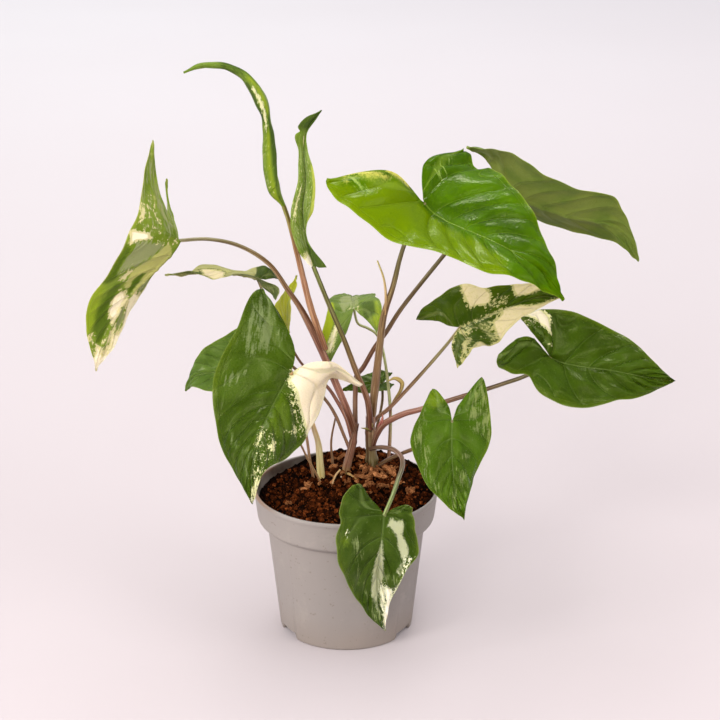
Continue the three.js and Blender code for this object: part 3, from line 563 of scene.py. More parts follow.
def soil_body():
    low = WALL + OFF_FLOOR
    body = [(14.5, low), (24, FLOOR_Z + low), (41.5, FLOOR_Z + low),
            (49.3, COLLAR_Z - 4.5), (50.4, COLLAR_Z - 1), (54.4, COLLAR_Z + 0.4),
            (55.2, COLLAR_Z + 2), (56.3, SOIL_Z - 1.5)]
    angles = np.arange(SOIL_SIDES) * TURN / SOIL_SIDES
    points = [(0, 0, low)]
    for r, z in body:
        points.extend((r * math.cos(a), r * math.sin(a), z) for a in angles)
    for ring in range(SOIL_RINGS):
        r = SOIL_R * (1 - ring / SOIL_RINGS)
        x = r * np.cos(angles)
        y = r * np.sin(angles)
        z = ground(x, y) + lumps(x, y) * min(1, ring / 3)
        points.extend(zip(x, y, z))
    middle = len(points)
    points.append((0, 0, float(heap(0, 0))))
    rings = len(body) + SOIL_RINGS
    faces = ring_faces(rings, SOIL_SIDES, 1)
    for side in range(SOIL_SIDES):
        after = (side + 1) % SOIL_SIDES
        faces.append((0, 1 + after, 1 + side))
        top = 1 + (rings - 1) * SOIL_SIDES
        faces.append((middle, top + side, top + after))
    return points, faces


soil_points, soil_faces = soil_body()
print("soil sheet:", len(soil_faces), "faces")


# %% Crumbs and bark
CRUMBS, CRUMB_REACH = 2300, 53
CLODS, CLOD_REACH = 120, 50
GRAIN_SIZE = 9               # millimetres to one unit of the bark's grain
CHIP_ROWS, CHIP_COLUMNS = 15, 8
CHIPS = [                    # x, y, long, wide, thick, turn and tip, as in the solid
    (14, 20, 11, 6, 3, 0.4, 0.5), (21, 14, 13, 5, 3, -0.5, 0.3), (9, 14, 8, 6, 3, 1.2, 0.4),
    (17, 6, 12, 7, 3.4, 0.2, 0.35), (28, 20, 12, 4, 2.6, -0.9, 0.4), (24, 4, 9, 5, 2.6, 0.7, 0.3),
    (4, 33, 10, 5, 3, -0.3, 0.4), (34, 10, 9, 4, 2.4, 0.5, 0.25), (42, 2, 6, 5, 3, 0.1, 0.2),
    (-25, 8, 5, 4, 3, 0.6, 0.2), (-36, -12, 6, 4, 3, -0.4, 0.2), (-8, 30, 7, 4, 3, 0.9, 0.3),
]
SHREDS = [                   # old sheaths that stand up round the right stem
    (13, 18, 13, 4, 1.6, 1.9, 0.9), (19, 17, 12, 4, 1.6, 1.2, 0.8), (24, 20, 13, 4, 1.6, 0.6, 0.7),
    (12, 24, 11, 4, 1.6, 2.6, 0.9), (16, 14, 11, 3, 1.4, 0.2, -0.4), (27, 15, 12, 3, 1.4, -0.6, 0.4),
]
MORE_CHIPS = 46


def grid_faces(rows, wide, start=0):
    """Quads between rows of points that are stored row by row."""
    return [(a, a + wide, a + wide + 1, a + 1) for row in range(rows - 1)
            for a in range(start + row * wide, start + (row + 1) * wide - 1)]


def open_edges(faces):
    """The edges that belong to one face only, each in that face's direction."""
    seen = {}
    for face in faces:
        for a, b in zip(face, face[1:] + face[:1]):
            if (b, a) in seen:
                del seen[(b, a)]
            else:
                seen[(a, b)] = True
    return list(seen)


def sheet(top, bottom, faces):
    """Closes two layers of points to one solid sheet."""
    count = len(top)
    points = np.vstack([top, bottom])
    made = list(faces)
    made += [tuple(count + i for i in face[::-1]) for face in faces]
    made += [(a, a + count, b + count, b) for a, b in open_edges(faces)]
    return points, made


def ball(subdivisions):
    """The points and faces of a ball of triangles."""
    shape = bmesh.new()
    bmesh.ops.create_icosphere(shape, subdivisions=subdivisions, radius=1)
    points = np.array([v.co for v in shape.verts])
    faces = [tuple(v.index for v in f.verts) for f in shape.faces]
    shape.free()
    return points, faces


def spun(points, chance):
    """The points turned to a random position."""
    axis = chance.normal(size=(3, 3))
    turned, _ = np.linalg.qr(axis)
    return points @ turned


def crumb(chance, coarse, fine, clod=False):
    reach = math.sqrt(chance.random()) * (CLOD_REACH if clod else CRUMB_REACH)
    angle = chance.random() * TURN
    size = 0.4 + 1.2 * chance.random() ** 3 + 1.1 * clod
    points, faces = fine if size > 1.0 else coarse
    rough = points * (1 + 0.3 * chance.normal(size=(len(points), 1)))
    rough = rough * (1, 0.6 + 0.5 * chance.random(), 0.5 + 0.5 * chance.random())
    x = reach * math.cos(angle)
    y = reach * math.sin(angle)
    z = float(ground(x, y) + lumps(x, y)) + size * 0.3
    points = spun(rough * size, chance) + (x, y, z)
    shade = 0.1 + 0.45 * chance.random() ** 2
    return points, faces, np.full(len(points), shade), points / GRAIN_SIZE


def chip(chance, x, y, long, wide, thick, turn, tip):
    """A shred of bark or dry sheath: a torn, curled slab, with a place along its fibres."""
    rows, columns = CHIP_ROWS, CHIP_COLUMNS
    u = np.linspace(-0.5, 0.5, rows)[:, None]
    v = np.linspace(-0.5, 0.5, columns)[None]
    taper = 1 - (0.2 + 0.6 * chance.random()) * np.abs(2 * u) ** 3
    sway = 0.22 * np.sin(u * 5 + chance.random() * 6) + 0.05 * chance.normal(size=(rows, 1))
    along = long * (u + 0.07 * chance.normal(size=(1, columns)) * (np.abs(u) > 0.3))
    across = wide * (v * taper * (1 + 0.12 * chance.normal(size=(rows, 1))) + sway)
    curl = 0.9 * wide * chance.normal() * u ** 2 + 1.2 * wide * v ** 2 * chance.normal()
    edge = np.minimum(1, 4 * (0.52 - np.abs(v))) * np.minimum(1, 5 * (0.54 - np.abs(u)))
    points = []
    for side in (1, -1):
        rough = 0.16 * thick * chance.normal(size=(rows, columns))
        high = curl + side * thick * 0.32 * edge + rough
        points.append(np.stack([along, across, high], -1).reshape(-1, 3))
    grain = np.stack(np.broadcast_arrays(u * long / GRAIN_SIZE, v * 2.2, chance.random() * 50), -1)
    points, faces = sheet(*points, grid_faces(rows, columns))
    c, s = math.cos(tip), math.sin(tip)
    points = points @ np.array([[c, 0, -s], [0, 1, 0], [s, 0, c]])
    c, s = math.cos(turn), math.sin(turn)
    points = points @ np.array([[c, s, 0], [-s, c, 0], [0, 0, 1]])
    z = float(ground(x, y)) + thick * 0.35
    shade = 0.8 + 0.2 * chance.random()
    return points + (x, y, z), faces, np.full(len(points), shade), np.tile(grain.reshape(-1, 3), (2, 1))


coarse_ball, fine_ball = ball(1), ball(2)
soil_points = np.array(soil_points)
hollow = lumps(soil_points[:, 0], soil_points[:, 1])
# painted shade: the sheet's tone number falls with its height noise, so its hollows are painted darker, down
# to near black
hollow_painted_shade = np.clip(0.1 + 0.1 * hollow, 0, 0.26)
soil_parts = [(soil_points, soil_faces, hollow_painted_shade, soil_points / GRAIN_SIZE)]
for order in range(CRUMBS + CLODS):
    soil_parts.append(crumb(soil_chance, coarse_ball, fine_ball, order < CLODS))
small_chips = []
for _ in range(MORE_CHIPS):
    around = soil_chance.normal(size=2) * (17, 12) + (CROWN_X, CROWN_Y - 14)
    if np.hypot(*around) < 50:
        long = 3 + 8 * soil_chance.random()
        wide = 1.4 + 2.2 * soil_chance.random()
        small_chips.append((*around, long, wide, 1.3, soil_chance.random() * 6,
                            1.2 * soil_chance.random() - 0.2))
for place in CHIPS + SHREDS + small_chips:
    soil_parts.append(chip(soil_chance, *place))
print("soil:", CRUMBS + CLODS, "crumbs and clods,", len(CHIPS + SHREDS + small_chips), "chips and shreds")


# %% Peat
def carry(piece, **fields):
    """Stores a number or a vector at each point of the piece, under the name given."""
    for name, field in fields.items():
        field = np.asarray(field, np.float32)
        kind, key = ("FLOAT", "value") if field.ndim == 1 else ("FLOAT_VECTOR", "vector")
        stored = piece.data.attributes.new(name, kind, "POINT")
        stored.data.foreach_set(key, field.ravel())


def peat():
    paint = Paint("peat_and_bark", roughness=0.9, specular=0.02)
    place = paint.place()
    shade = paint.measured("shade")
    fine = paint.noise(place, 700, 4.0, 0.7)
    broad = paint.noise(place, 90, 3.0)
    dark = paint.mix(broad, "1C0B04", "401C0A")
    reddish = paint.mix(paint.step(fine, 0.45, 0.7), dark, "5A280C")
    fibres = paint.noise(paint.stretch(paint.carried("grain"), (1.2, 5, 1)), 2.4, 5.0, 0.65)
    bark = paint.mix(paint.step(fibres, 0.36, 0.62), "50240C", "D08E5C")
    bark = paint.mix(paint.times(paint.step(fine, 0.55, 0.75), 0.5), bark, "5C3018")
    bark = paint.mix(paint.step(shade, 0.97, 0.82), bark, paint.mix(0.6, bark, "4A2410"))
    # near black for the lowest tone numbers: painted shade in the sheet's hollows, and on the darkest crumbs
    # their own colour
    colour = paint.mix(paint.step(shade, 0.02, 0.14), "080301", reddish)
    colour = paint.mix(paint.step(shade, 0.15, 0.5), colour,
                       paint.mix(paint.step(fine, 0.35, 0.75), "441A08", "945026"))
    coloured = paint.mix(paint.step(shade, 0.6, 0.75), colour, bark)
    rough = paint.bump(fine, 0.0009)
    return paint.finish(coloured, normal=rough)


points, faces, shade, grain = joined(*soil_parts)
soil = make_mesh("potting_soil", points * MM, faces, peat())
carry(soil, shade=shade, grain=grain)
settle(soil, "soil", 55)
print("soil:", face_count(soil), "faces")


# %% [markdown]
# ## Stems and leaf stalks
#
# The stems are jointed, and the leaf stalks are smooth and round, pink where they leave
# the stem and green towards the blade. Low down each stalk is a sheath: a groove runs
# along its inner side, with thin margins that once wrapped the next leaf. A tube along a
# curve is the plain way to make one. Here the ring of points is shaped at each station,
# so that the groove, the swelling at the joints and the taper are all real geometry. One
# finish, with streaks and darker patches, serves all of them but the cream stalk at the
# front left. Its patches hardly darken at all.

# %% Curves and tubes
STEMS_Y = 22                 # the sheaths' grooves look inwards, to the middle of the stems


def unit(vectors):
    """The vectors, each brought to a length of one."""
    return vectors / np.linalg.norm(vectors, axis=-1, keepdims=True)


def curve_places(route, count):
    """Evenly spaced points, directions and lengths on a smooth curve through the route."""
    route = np.asarray(route, float)
    ends = np.vstack([2 * route[0] - route[1], route, 2 * route[-1] - route[-2]])
    dense = []
    for i in range(1, len(ends) - 2):
        a, b, c, d = ends[i - 1], ends[i], ends[i + 1], ends[i + 2]
        gaps = [max(np.linalg.norm(q - p), 1e-4) ** 0.5 for p, q in ((a, b), (b, c), (c, d))]
        leave = ((b - a) / gaps[0] - (c - a) / (gaps[0] + gaps[1]) + (c - b) / gaps[1]) * gaps[1]
        arrive = ((c - b) / gaps[1] - (d - b) / (gaps[1] + gaps[2]) + (d - c) / gaps[2]) * gaps[1]
        t = np.linspace(0, 1, 60, endpoint=i == len(ends) - 3)[:, None]
        dense.append(b + leave * t + (-3 * b + 3 * c - 2 * leave - arrive) * t ** 2
                     + (2 * b - 2 * c + leave + arrive) * t ** 3)
    dense = np.vstack(dense)
    reach = np.concatenate([[0], np.cumsum(np.linalg.norm(np.diff(dense, axis=0), axis=1))])
    at = np.linspace(0, reach[-1], count)
    places = np.stack([np.interp(at, reach, dense[:, k]) for k in range(3)], 1)
    return places, unit(np.gradient(places, axis=0)), at


def carried_normals(ahead, first):
    """Directions square to a curve that turn as little as possible on the way."""
    made = [unit(first - ahead[0] * np.dot(first, ahead[0]))]
    for direction in ahead[1:]:
        made.append(unit(made[-1] - direction * np.dot(made[-1], direction)))
    made = np.array(made)
    return made, np.cross(ahead, made)


def wobble(seed, t, waves=5):
    """A smooth random line between about -1 and 1."""
    chance = np.random.default_rng(seed)
    total = np.zeros_like(t)
    for k in range(1, waves + 1):
        total += chance.normal() * np.sin(k * 3.1 * t * 2 + chance.random() * 6) / k
    return total * 0.6


def tube(route, radii, colours, sides=20, sheath=0.0, rings=(), seed=1, spacing=1.2):
    """A stalk: its points, faces, colours, and place along and round it."""
    route = np.asarray(route, float)
    length = np.linalg.norm(np.diff(route, axis=0), axis=1).sum()
    count = max(12, int(length / spacing))
    places, ahead, at = curve_places(route, count)
    inward = np.array([CROWN_X - places[0][0] + 0.01, STEMS_Y - places[0][1], 60])
    normals, binormals = carried_normals(ahead, inward)
    t = at / at[-1]
    radius = np.interp(t, np.linspace(0, 1, len(radii)), radii)
    radius = radius * (1 + 0.035 * wobble(seed, t * 4))
    for place, swell in rings:
        radius = radius * (1 + swell * np.exp(-((t - place) * at[-1] / 1.6) ** 2))
    angles = np.arange(sides) * TURN / sides
    off = np.minimum(angles, TURN - angles)
    groove = sheath * np.clip(1.3 - t * 2.6, 0, 1)[:, None]
    shape = 1 - 0.42 * groove * np.exp(-(off / 0.42) ** 2) + 0.14 * groove * np.exp(
        -((off - 0.8) / 0.25) ** 2)
    reach = radius[:, None] * shape
    points = (places[:, None] + normals[:, None] * (reach * np.cos(angles))[..., None]
              + binormals[:, None] * (reach * np.sin(angles))[..., None])
    rgb = np.array([linear(colour)[:3] for colour in colours.split()])
    stops = np.linspace(0, 1, len(rgb))
    tint = np.stack([np.interp(t, stops, rgb[:, k]) for k in range(3)], 1)
    tint = np.repeat(tint[:, None], sides, 1)
    edge = (groove * np.exp(-((off - 0.75) / 0.2) ** 2))[..., None] * 0.55
    tint = tint * (1 - edge) + np.array(linear("B98F6A")[:3]) * edge
    round_it = np.stack([np.cos(angles), np.sin(angles)], 1)
    streak = np.concatenate([np.repeat(round_it[None], count, 0),
                             np.repeat((at / 60)[:, None, None], sides, 1)], 2)
    faces = ring_faces(count, sides)
    faces.append(tuple(range(sides))[::-1])
    faces.append(tuple((count - 1) * sides + i for i in range(sides)))
    return points.reshape(-1, 3), faces, tint.reshape(-1, 3), streak.reshape(-1, 3)


def stalk_skin(name, gloss=0.3, shadow="B09A8C"):
    paint = Paint(name, roughness=gloss, specular=0.3)
    tint = paint.carried("tint")
    streak = paint.noise(paint.stretch(paint.carried("streak"), (1, 1, 0.5)), 6.5, 4.0)
    patch = paint.noise(paint.carried("streak"), 1.7, 2.0)
    darker = paint.mix(1.0, tint, shadow, "MULTIPLY")
    lighter = paint.mix(paint.step(streak, 0.48, 0.75), tint, paint.mix(0.4, tint, "E2CFA8"))
    shaded = paint.mix(paint.step(patch, 0.6, 0.35), lighter, darker)
    fine = paint.noise(paint.place(), 1400, 2.0)
    specks = paint.mix(paint.step(fine, 0.62, 0.78), shaded, darker)
    ridges = paint.bump(streak, 0.0002, 0.4)
    return paint.finish(specks, normal=ridges)


stalk_finish = stalk_skin("stalk_skin")
cream_finish = stalk_skin("cream_stalk_skin", shadow="E2D6BC")
print("stalk finishes ready")


# %% [markdown]
# The stalks follow the same routes as the solids, written here in millimetres from the
# root up. The colours run from foot to top, as they do on the plant: pink and brown by
# the stem, olive higher up, and tan where an old sheath has dried.

# %% Stems
def add_tubes(name, node, slot, parts):
    """One piece made of tubes, in place of a CAD node where there is one."""
    points, faces, tint, streak = joined(*parts)
    finish = cream_finish if slot == "stalk_cream" else stalk_finish
    piece = make_mesh(name, points * MM, faces, finish)
    carry(piece, tint=tint, streak=streak)
    return settle(piece, node, 60 if node else None)


stem_middle = add_tubes("stem_middle_skin", "stem_middle", "stalk_pink", [
    tube([(-3, 22, 74), (-2, 22, 89), (1, 22, 104), (4, 23, 116), (7, 24, 131)],
         [2.1, 2.7, 2.8, 1.5], "75572A 9C9A4A 89614C 7E5341 704939", sides=28,
         rings=[(0.34, 0.22), (0.36, 0.1), (0.78, 0.14)], seed=3, spacing=0.8),
])
stem_right = add_tubes("stem_right_skin", "stem_right", "stalk_brown", [
    tube([(19, 24, 74), (18, 24, 88), (17, 25, 103), (16, 26, 118), (16, 27, 135)],
         [3.6, 3.8, 3.5, 3.1], "4A3A26 5A4A2E 5E5230 80684A A8785C", sides=28,
         rings=[(0.5, 0.16), (0.53, 0.12), (0.82, 0.12)], seed=5, spacing=0.8),
])
dry_left = add_tubes("dry_stalk_left_skin", "dry_stalk_left", "stalk_tan", [
    tube([(-13, 15, 82), (-18, 14, 96), (-25, 12, 111), (-32, 8, 129)],
         [0.8, 0.7, 0.7], "8A6848 B08A64 A88058", sides=12, seed=7),
])
dry_middle = add_tubes("dry_stalk_middle_skin", "dry_stalk_middle", "stalk_tan", [
    tube([(-8, 34, 84), (-9, 34, 98), (-10, 34, 114), (-7, 36, 131)],
         [1.2, 0.8, 0.6], "6A4A34 8E6A4C 7E6044", sides=12, seed=9),
])
print("stems:", face_count(stem_middle, stem_right), "faces,",
      "dry stalks:", face_count(dry_left, dry_middle))


# %% Leaf stalks
STALKS = {
    "front_left": dict(
        slot="stalk_cream", radii=[2.6, 2.7, 2, 1.5, 1.3, 1.2], sheath=.25,
        colours="DCA088 E6D894 F2E4AC F0D6A8 E6BA98 C49074 A48454",
        route=[(-16, 21, 74), (-16, 21, 89), (-17, 19, 103), (-18, 15, 120), (-21, 8, 135), (-26, -5, 159),
               (-34, -22, 184)]),
    "far_left": dict(
        slot="stalk_pink", radii=[2.2, 2.3, 2.3, 2.3, 1.6, 1.4, 1.2, 1.1], sheath=1.0,
        colours="805B47 9A6758 976858 7E5B41 826743 7C7450 84805A",
        route=[(5, 20, 128), (2, 16, 140), (-2, 13, 152), (-6, 11, 163), (-17, 7, 192), (-28, 4, 217),
               (-36, 3, 230), (-48, 2, 248), (-66, 1, 260), (-85, -1, 265), (-104, -4, 265)]),
    "bright": dict(
        slot="stalk_olive", radii=[2.7, 2.6, 2.4, 2, 1.5, 1.4, 1.3], sheath=1.0,
        colours="846741 7E5F41 806541 82693F 6A6238 6A663C 707040",
        route=[(17, 27, 136), (18, 25, 147), (20, 22, 168), (22, 17, 190), (24, 12, 209), (30, 4, 233),
               (34, -5, 254), (40, -17, 277), (48, -28, 296)]),
    "back_right": dict(
        slot="stalk_olive", radii=[1.7, 1.6, 1.5, 1.4, 1.3, 1.2], sheath=.6,
        colours="78523F 805A49 71563B 6E6440 6C663E 70704A",
        route=[(6, 29, 124), (6, 32, 148), (7, 34, 161), (11, 35, 166), (19, 37, 180), (26, 39, 189),
               (35, 42, 203), (64, 50, 239), (87, 57, 266), (103, 62, 279)]),
    "marbled_right": dict(
        slot="stalk_olive", radii=[1.4, 1.3, 1.2, 1.1, 1], sheath=.5,
        colours="7E5641 87614A 826A49 8C8458 9A9468",
        route=[(16, 32, 125), (20, 33, 131), (27, 33, 137), (37, 33, 148), (55, 32, 170), (68, 31, 187),
               (74, 30, 196)]),
    "dark_right": dict(
        slot="stalk_pink", radii=[1.2, 2.3, 2, 1.7, 1.5, 1.4, 1.3, 1.2], sheath=.9,
        colours="6C4333 7C5041 85594A 7A563F 665034 605A32 706A3C",
        route=[(17.5, 23.5, 113), (19, 21, 121), (21, 19, 127), (24, 17, 133), (30, 15, 138), (39, 13, 143),
               (47, 11, 146), (73, 5, 157), (100, -2, 169), (117, -7, 178), (129, -12, 191)]),
    "small_right": dict(
        slot="stalk_olive", radii=[1.4, 1.3, 1.1, 1], sheath=.4,
        colours="61452E 755739 6A6040 74704A",
        route=[(20, 22, 101), (25, 19, 106), (31, 13, 112), (36, 7, 117), (46, -8, 128), (57, -27, 145),
               (66, -48, 162)]),
    "over_rim": dict(
        slot="stalk_olive", radii=[1.5, 1.5, 1.5, 1.4, 1.3], sheath=.4,
        colours="644737 705445 937768 85836C 7C9250 8FA064",
        route=[(16, 22, 114), (22, 15, 118), (29, 8, 120), (33, 0, 121), (36, -10, 121), (36, -22, 120),
               (33, -36, 117), (29, -51, 112), (24, -63, 105)]),
    "centre": dict(
        slot="stalk_pale", radii=[1.2, 1.2, 1.1, 1, .9, .8], sheath=.3,
        colours="8C5B45 92684F A8B078 B4C084 B0BC80 AAB47C",
        route=[(27, 34, 82), (28, 34, 99), (29, 35, 118), (29, 37, 138), (24, 41, 176), (20, 44, 186),
               (14, 45, 190), (8, 42, 194), (5, 36, 207)]),
    "thin_left": dict(
        slot="stalk_tan", radii=[1, 1, .9, .9], sheath=.3,
        colours="997256 A88464 99805C 8E8660",
        route=[(-21, 23, 80), (-22, 23, 95), (-24, 25, 105), (-26, 30, 118), (-33, 42, 148), (-46, 56, 188),
               (-55, 63, 209), (-59, 66, 218)]),
    "dark_left": dict(
        slot="stalk_tan", radii=[1.1, 1.1, 1, 1], sheath=.3,
        colours="7E5641 926B4F 8C724F 937852",
        route=[(2, 27, 112), (-2, 31, 121), (-7, 33, 133), (-13, 34, 143), (-31, 33, 164), (-45, 29, 176),
               (-58, 26, 180)]),
    "yellow_back": dict(
        slot="stalk_pink", radii=[1.4, 1.3, 1.1, .9, .8], sheath=.5,
        colours="7E4D3F 925B4C 8F614F 826647",
        route=[(4, 27, 118), (0, 31, 132), (-6, 36, 142), (-12, 40, 150), (-29, 49, 163), (-36, 54, 173),
               (-40, 56, 181)]),
    "low_back": dict(
        slot="stalk_olive", radii=[1, .9, .9], sheath=.2,
        colours="61452E 755737 6E6640",
        route=[(17, 30, 112), (21, 41, 125), (24, 52, 136), (24, 60, 146)]),
    "twisted": dict(
        slot="stalk_olive", radii=[2.2, 2, 1.8, 1.6, 1.5, 1.4], sheath=.8,
        colours="7E5243 805641 7B5D39 68602F 6A6A34 74803E",
        route=[(16, 23, 128), (14, 17, 150), (7, 12, 171), (-2, 5, 199), (-10, -1, 221), (-20, -8, 250)]),
    "rolled": dict(
        slot="stalk_tan", radii=[1.9, 2.1, 1.9, 1.6, 1.4], sheath=.9,
        colours="996B4C AC7F5B A5765A 8F6B41 7E8238",
        route=[(-13, 5, 190), (-22, 0, 220), (-28, -2, 247), (-35, -4, 278), (-38, -5, 288)]),
}
HORN = dict(radii=[1.1, .8, .5], route=[(25, 10, 212), (25.5, 6, 224), (24, 3, 238), (20, 2, 250)],
            colours="A98A58 C9AE7A B8B068")

stalk_faces = 0
for order, (name, stalk) in enumerate(STALKS.items()):
    parts = [tube(stalk["route"], stalk["radii"], stalk["colours"], sheath=stalk["sheath"],
                  seed=20 + order)]
    if name == "bright":
        parts.append(tube(HORN["route"], HORN["radii"], HORN["colours"], sides=12, seed=40))
    piece = add_tubes(f"leaf_{name}_petiole", f"leaf_{name}_stalk", stalk["slot"], parts)
    stalk_faces += face_count(piece)
print("leaf stalks:", len(STALKS), "pieces,", stalk_faces, "faces")


# %% [markdown]
# ## The form of a blade
#
# Every grown leaf starts as a flat arrowhead. A place on it has two numbers, in leaf
# lengths: s runs from the joint with the stalk (0) to the tip (1), and v runs out to the
# left of the midrib. The tips of its lobes can be rounded, and bays pressed into its
# margin. The flat blade is then bent through fifteen landmarks in space with a thin-plate
# spline, which is the smoothest sheet through them. Working flat first makes veins and
# markings easy, because they are drawn before the leaf is bent.

# %% Flat arrowhead and its bending
LOBE_SHARE = 0.3             # how much of the way along a half's edge runs round its lobe


def flat_places(back, side, width):
    """Joint, middle and tip, then lobe, notch, back, shoulder, side and point twice."""
    places = [(0, 0), (0.5, 0), (1, 0)]
    for half, sign in enumerate((1, -1)):
        b, d, w = back[half], side[half], width[half]
        places += [(-b, sign * d), (-0.42 * b, sign * 0.3 * d),
                   (-0.45 * b, sign * (0.55 * d + 0.45 * w + 0.03)), (0.12, sign * w),
                   (0.5, sign * 0.7 * w), (0.8, sign * 0.27 * w)]
    return np.array(places)


def plate_terms(places, flat):
    square = ((places[:, None] - flat[None]) ** 2).sum(-1)
    kernel = 0.5 * square * np.log(np.maximum(square, 1e-12))
    return np.hstack([kernel, np.ones((len(places), 1)), places])


def bending(flat, landmarks):
    """A function that carries flat places to points in space, in millimetres."""
    count = len(flat)
    matrix = np.zeros((count + 3, count + 3))
    matrix[:count] = plate_terms(flat, flat)
    matrix[count:, :count] = matrix[:count, count:].T
    weights = np.linalg.solve(matrix, np.vstack([landmarks, np.zeros((3, 3))]))
    return lambda places: plate_terms(places, flat) @ weights


def bay_depth(bays, along):
    """How far the margin bays in, in leaf lengths. Below 0 it bulges out."""
    depth = np.zeros_like(along)
    for at, deep, spread in bays:
        depth += deep * np.exp(-((along - at) / spread) ** 2)
    return depth


def round_start(route, before, share, steps):
    """A smooth line that leaves its first point as if it came from another one before it."""
    route = np.vstack([route[0] + share * (np.asarray(before) - route[0]), route])
    spans = len(route) - 1
    return smooth_line(route, (1 + np.asarray(steps) * (spans - 1)) / spans)


def half_grid(flat, half, bays, rounding, lobe_rows, rib_rows, columns):
    """Flat places of one half, with how far each is along the edge and out to the margin."""
    first = 3 + 6 * half
    lobe, notch, back, shoulder, side, point = flat[first:first + 6]
    outer = [lobe, back, shoulder, side, point, flat[2]]
    notch = notch + rounding[:2]
    part = np.concatenate([np.linspace(0, 1, lobe_rows + 1)[:-1], np.linspace(0, 1, rib_rows + 1)])
    beside = np.arange(len(part)) < lobe_rows
    along = np.where(beside, LOBE_SHARE * part, LOBE_SHARE + (1 - LOBE_SHARE) * part)
    on_rib = np.stack([part, np.zeros_like(part)], 1)
    inner = round_start([lobe, notch, flat[0]], back, rounding[2], part)
    inner = np.where(beside[:, None], inner, on_rib)
    edge = round_start(outer, notch, rounding[2], along)
    room = np.linalg.norm(edge - inner, axis=1)
    share = np.minimum(bay_depth(bays, along) / np.maximum(room, 1e-9), 0.9)
    edge = np.where((room > 1e-9)[:, None], edge + (inner - edge) * share[:, None], edge)
    margin = np.linspace(0, 1, columns + 1) ** 1.12      # a little finer beside the midrib
    places = inner[:, None] + (edge - inner)[:, None] * margin[None, :, None]
    margins = np.repeat(margin[None], len(part), 0)
    margins[0] = 1
    margins[-1] = 1
    return places, margins, np.repeat(along[:, None], columns + 1, 1)


test_flat = flat_places((0.5, 0.5), (0.3, 0.3), (0.4, 0.4))
print("a flat arrowhead reaches from", test_flat.min(0), "to", test_flat.max(0))


# %% [markdown]
# ## Veins
#
# The side veins leave the midrib in a row, sweep towards the tip, and join a fine line
# just inside the margin. In the lobes they leave the lobe's own strong vein and sweep
# towards the end of the lobe. One number at each point describes all of them: the vein
# count, which is whole on a vein and halfway between two of them. A material can then
# draw veins of any fineness, and the mesh can sink its surface along them, from the same
# number.

# %% Vein fields
VEINS_ALONG = 10.5


def lobe_vein_place(along):
    """How far out the strong vein of a lobe runs, as a share of the way to the margin."""
    return 0.36 * np.clip((LOBE_SHARE - along) / 0.12, 0, 1) ** 0.8


def vein_count(along, margin, seed):
    sweep_up = -0.135 * margin ** 1.25
    sweep_down = 0.10 * np.abs(margin - lobe_vein_place(along)) ** 1.1
    share = fade(along, 0.2, 0.4)
    swept = along + sweep_up * share + sweep_down * (1 - share)
    return swept * VEINS_ALONG + 0.35 * np.sin(swept * 9 + seed) + 0.13 * seed


def near_vein(count):
    """0 on a vein and 0.5 midway between two."""
    return np.abs(count - np.round(count))


print("veins from the joint to the tip:", round(VEINS_ALONG * (1 - LOBE_SHARE)))


# %% [markdown]
# ## Markings
#
# Cream, grey-green and yellow-green areas are each an outline drawn on the flat blade,
# with the share of the surface that they cover. Later marks lie over earlier ones, and a
# mark called green gives its area back to the plain green. Each vertex stores how far the
# marks of each tone cover it. The material then adds noise that is drawn out along the
# veins and compares the sum with a level. So edges come out ragged, a share below one
# breaks up into streaks and speckles, as real variegation does, and a share above one
# stays whole.

# %% Marks on a flat blade
TONES = ("cream", "pale", "light", "glow", "deep")
SOFT_EDGE = 0.032


def mark_maker(tone):
    """A function that makes marks of one tone, from a share and the corners of an outline."""
    return lambda share, *corners: (tone, share, corners)


cream, pale, light, glow, deep, green = map(mark_maker, (*TONES, "green"))


def depth_inside(places, corners):
    """Distance to the outline: above 0 inside it and below 0 outside."""
    corners = np.asarray(corners, float)
    nearest = np.full(len(places), 9.0)
    inside = np.zeros(len(places), bool)
    for a, b in zip(corners, np.roll(corners, -1, 0)):
        side = b - a
        off = places - a
        share = np.clip((off @ side) / (side @ side), 0, 1)
        nearest = np.minimum(nearest, np.linalg.norm(off - share[:, None] * side, axis=1))
        crosses = (a[1] > places[:, 1]) != (b[1] > places[:, 1])
        meets = a[0] + (places[:, 1] - a[1]) * side[0] / (side[1] or 1e-9)
        inside ^= crosses & (places[:, 0] < meets)
    return np.where(inside, nearest, -nearest)


def tone_fields(places, marks):
    fields = {tone: np.zeros(len(places)) for tone in TONES}
    for tone, share, corners in marks:
        depth = depth_inside(places, corners)
        cover = share * np.clip(0.5 + depth / (2 * SOFT_EDGE), 0, 1)
        for other in TONES:
            if other == tone:
                fields[other] = np.maximum(fields[other], cover)
            else:
                fields[other] *= 1 - np.minimum(1, cover * 1.3)
    return fields


square = [(0, 0), (1, 0), (1, 1), (0, 1)]
print("middle of a square lies", depth_inside(np.array([[0.5, 0.5]]), square)[0], "inside")


# %% [markdown]
# ## The blade's skin
#
# A leaf's surface is green, smooth and waxy, with a soft shine that breaks up over the
# veins. The material lays its tones one over another: two greens, then the marks from
# the deepest tone to cream, and the paler veins last. The underside is duller and paler
# than the top, because air spaces under the skin there scatter the light. A leaf's grain
# says how fine its speckles are.

# %% Veins and mottling in a material
def vein_lines(paint, count, margin, from_rib):
    """The side veins with the line that joins them, and the midrib, each from 0 to 1."""
    near = paint.math("PINGPONG", count, 0.5)
    thin = paint.minus(0.085, paint.times(margin, 0.055))
    side_vein = paint.minus(1.0, paint.step(near, 0.0, thin))
    side_vein = paint.times(side_vein, paint.step(margin, 0.95, 0.88))
    loop = paint.math("ABSOLUTE", paint.minus(margin, 0.915))
    loop = paint.minus(1.0, paint.step(loop, 0.0, 0.012))
    rib = paint.minus(1.0, paint.step(paint.math("ABSOLUTE", from_rib), 0.25, 1.0))
    return paint.math("MAXIMUM", side_vein, paint.times(loop, 0.6)), rib


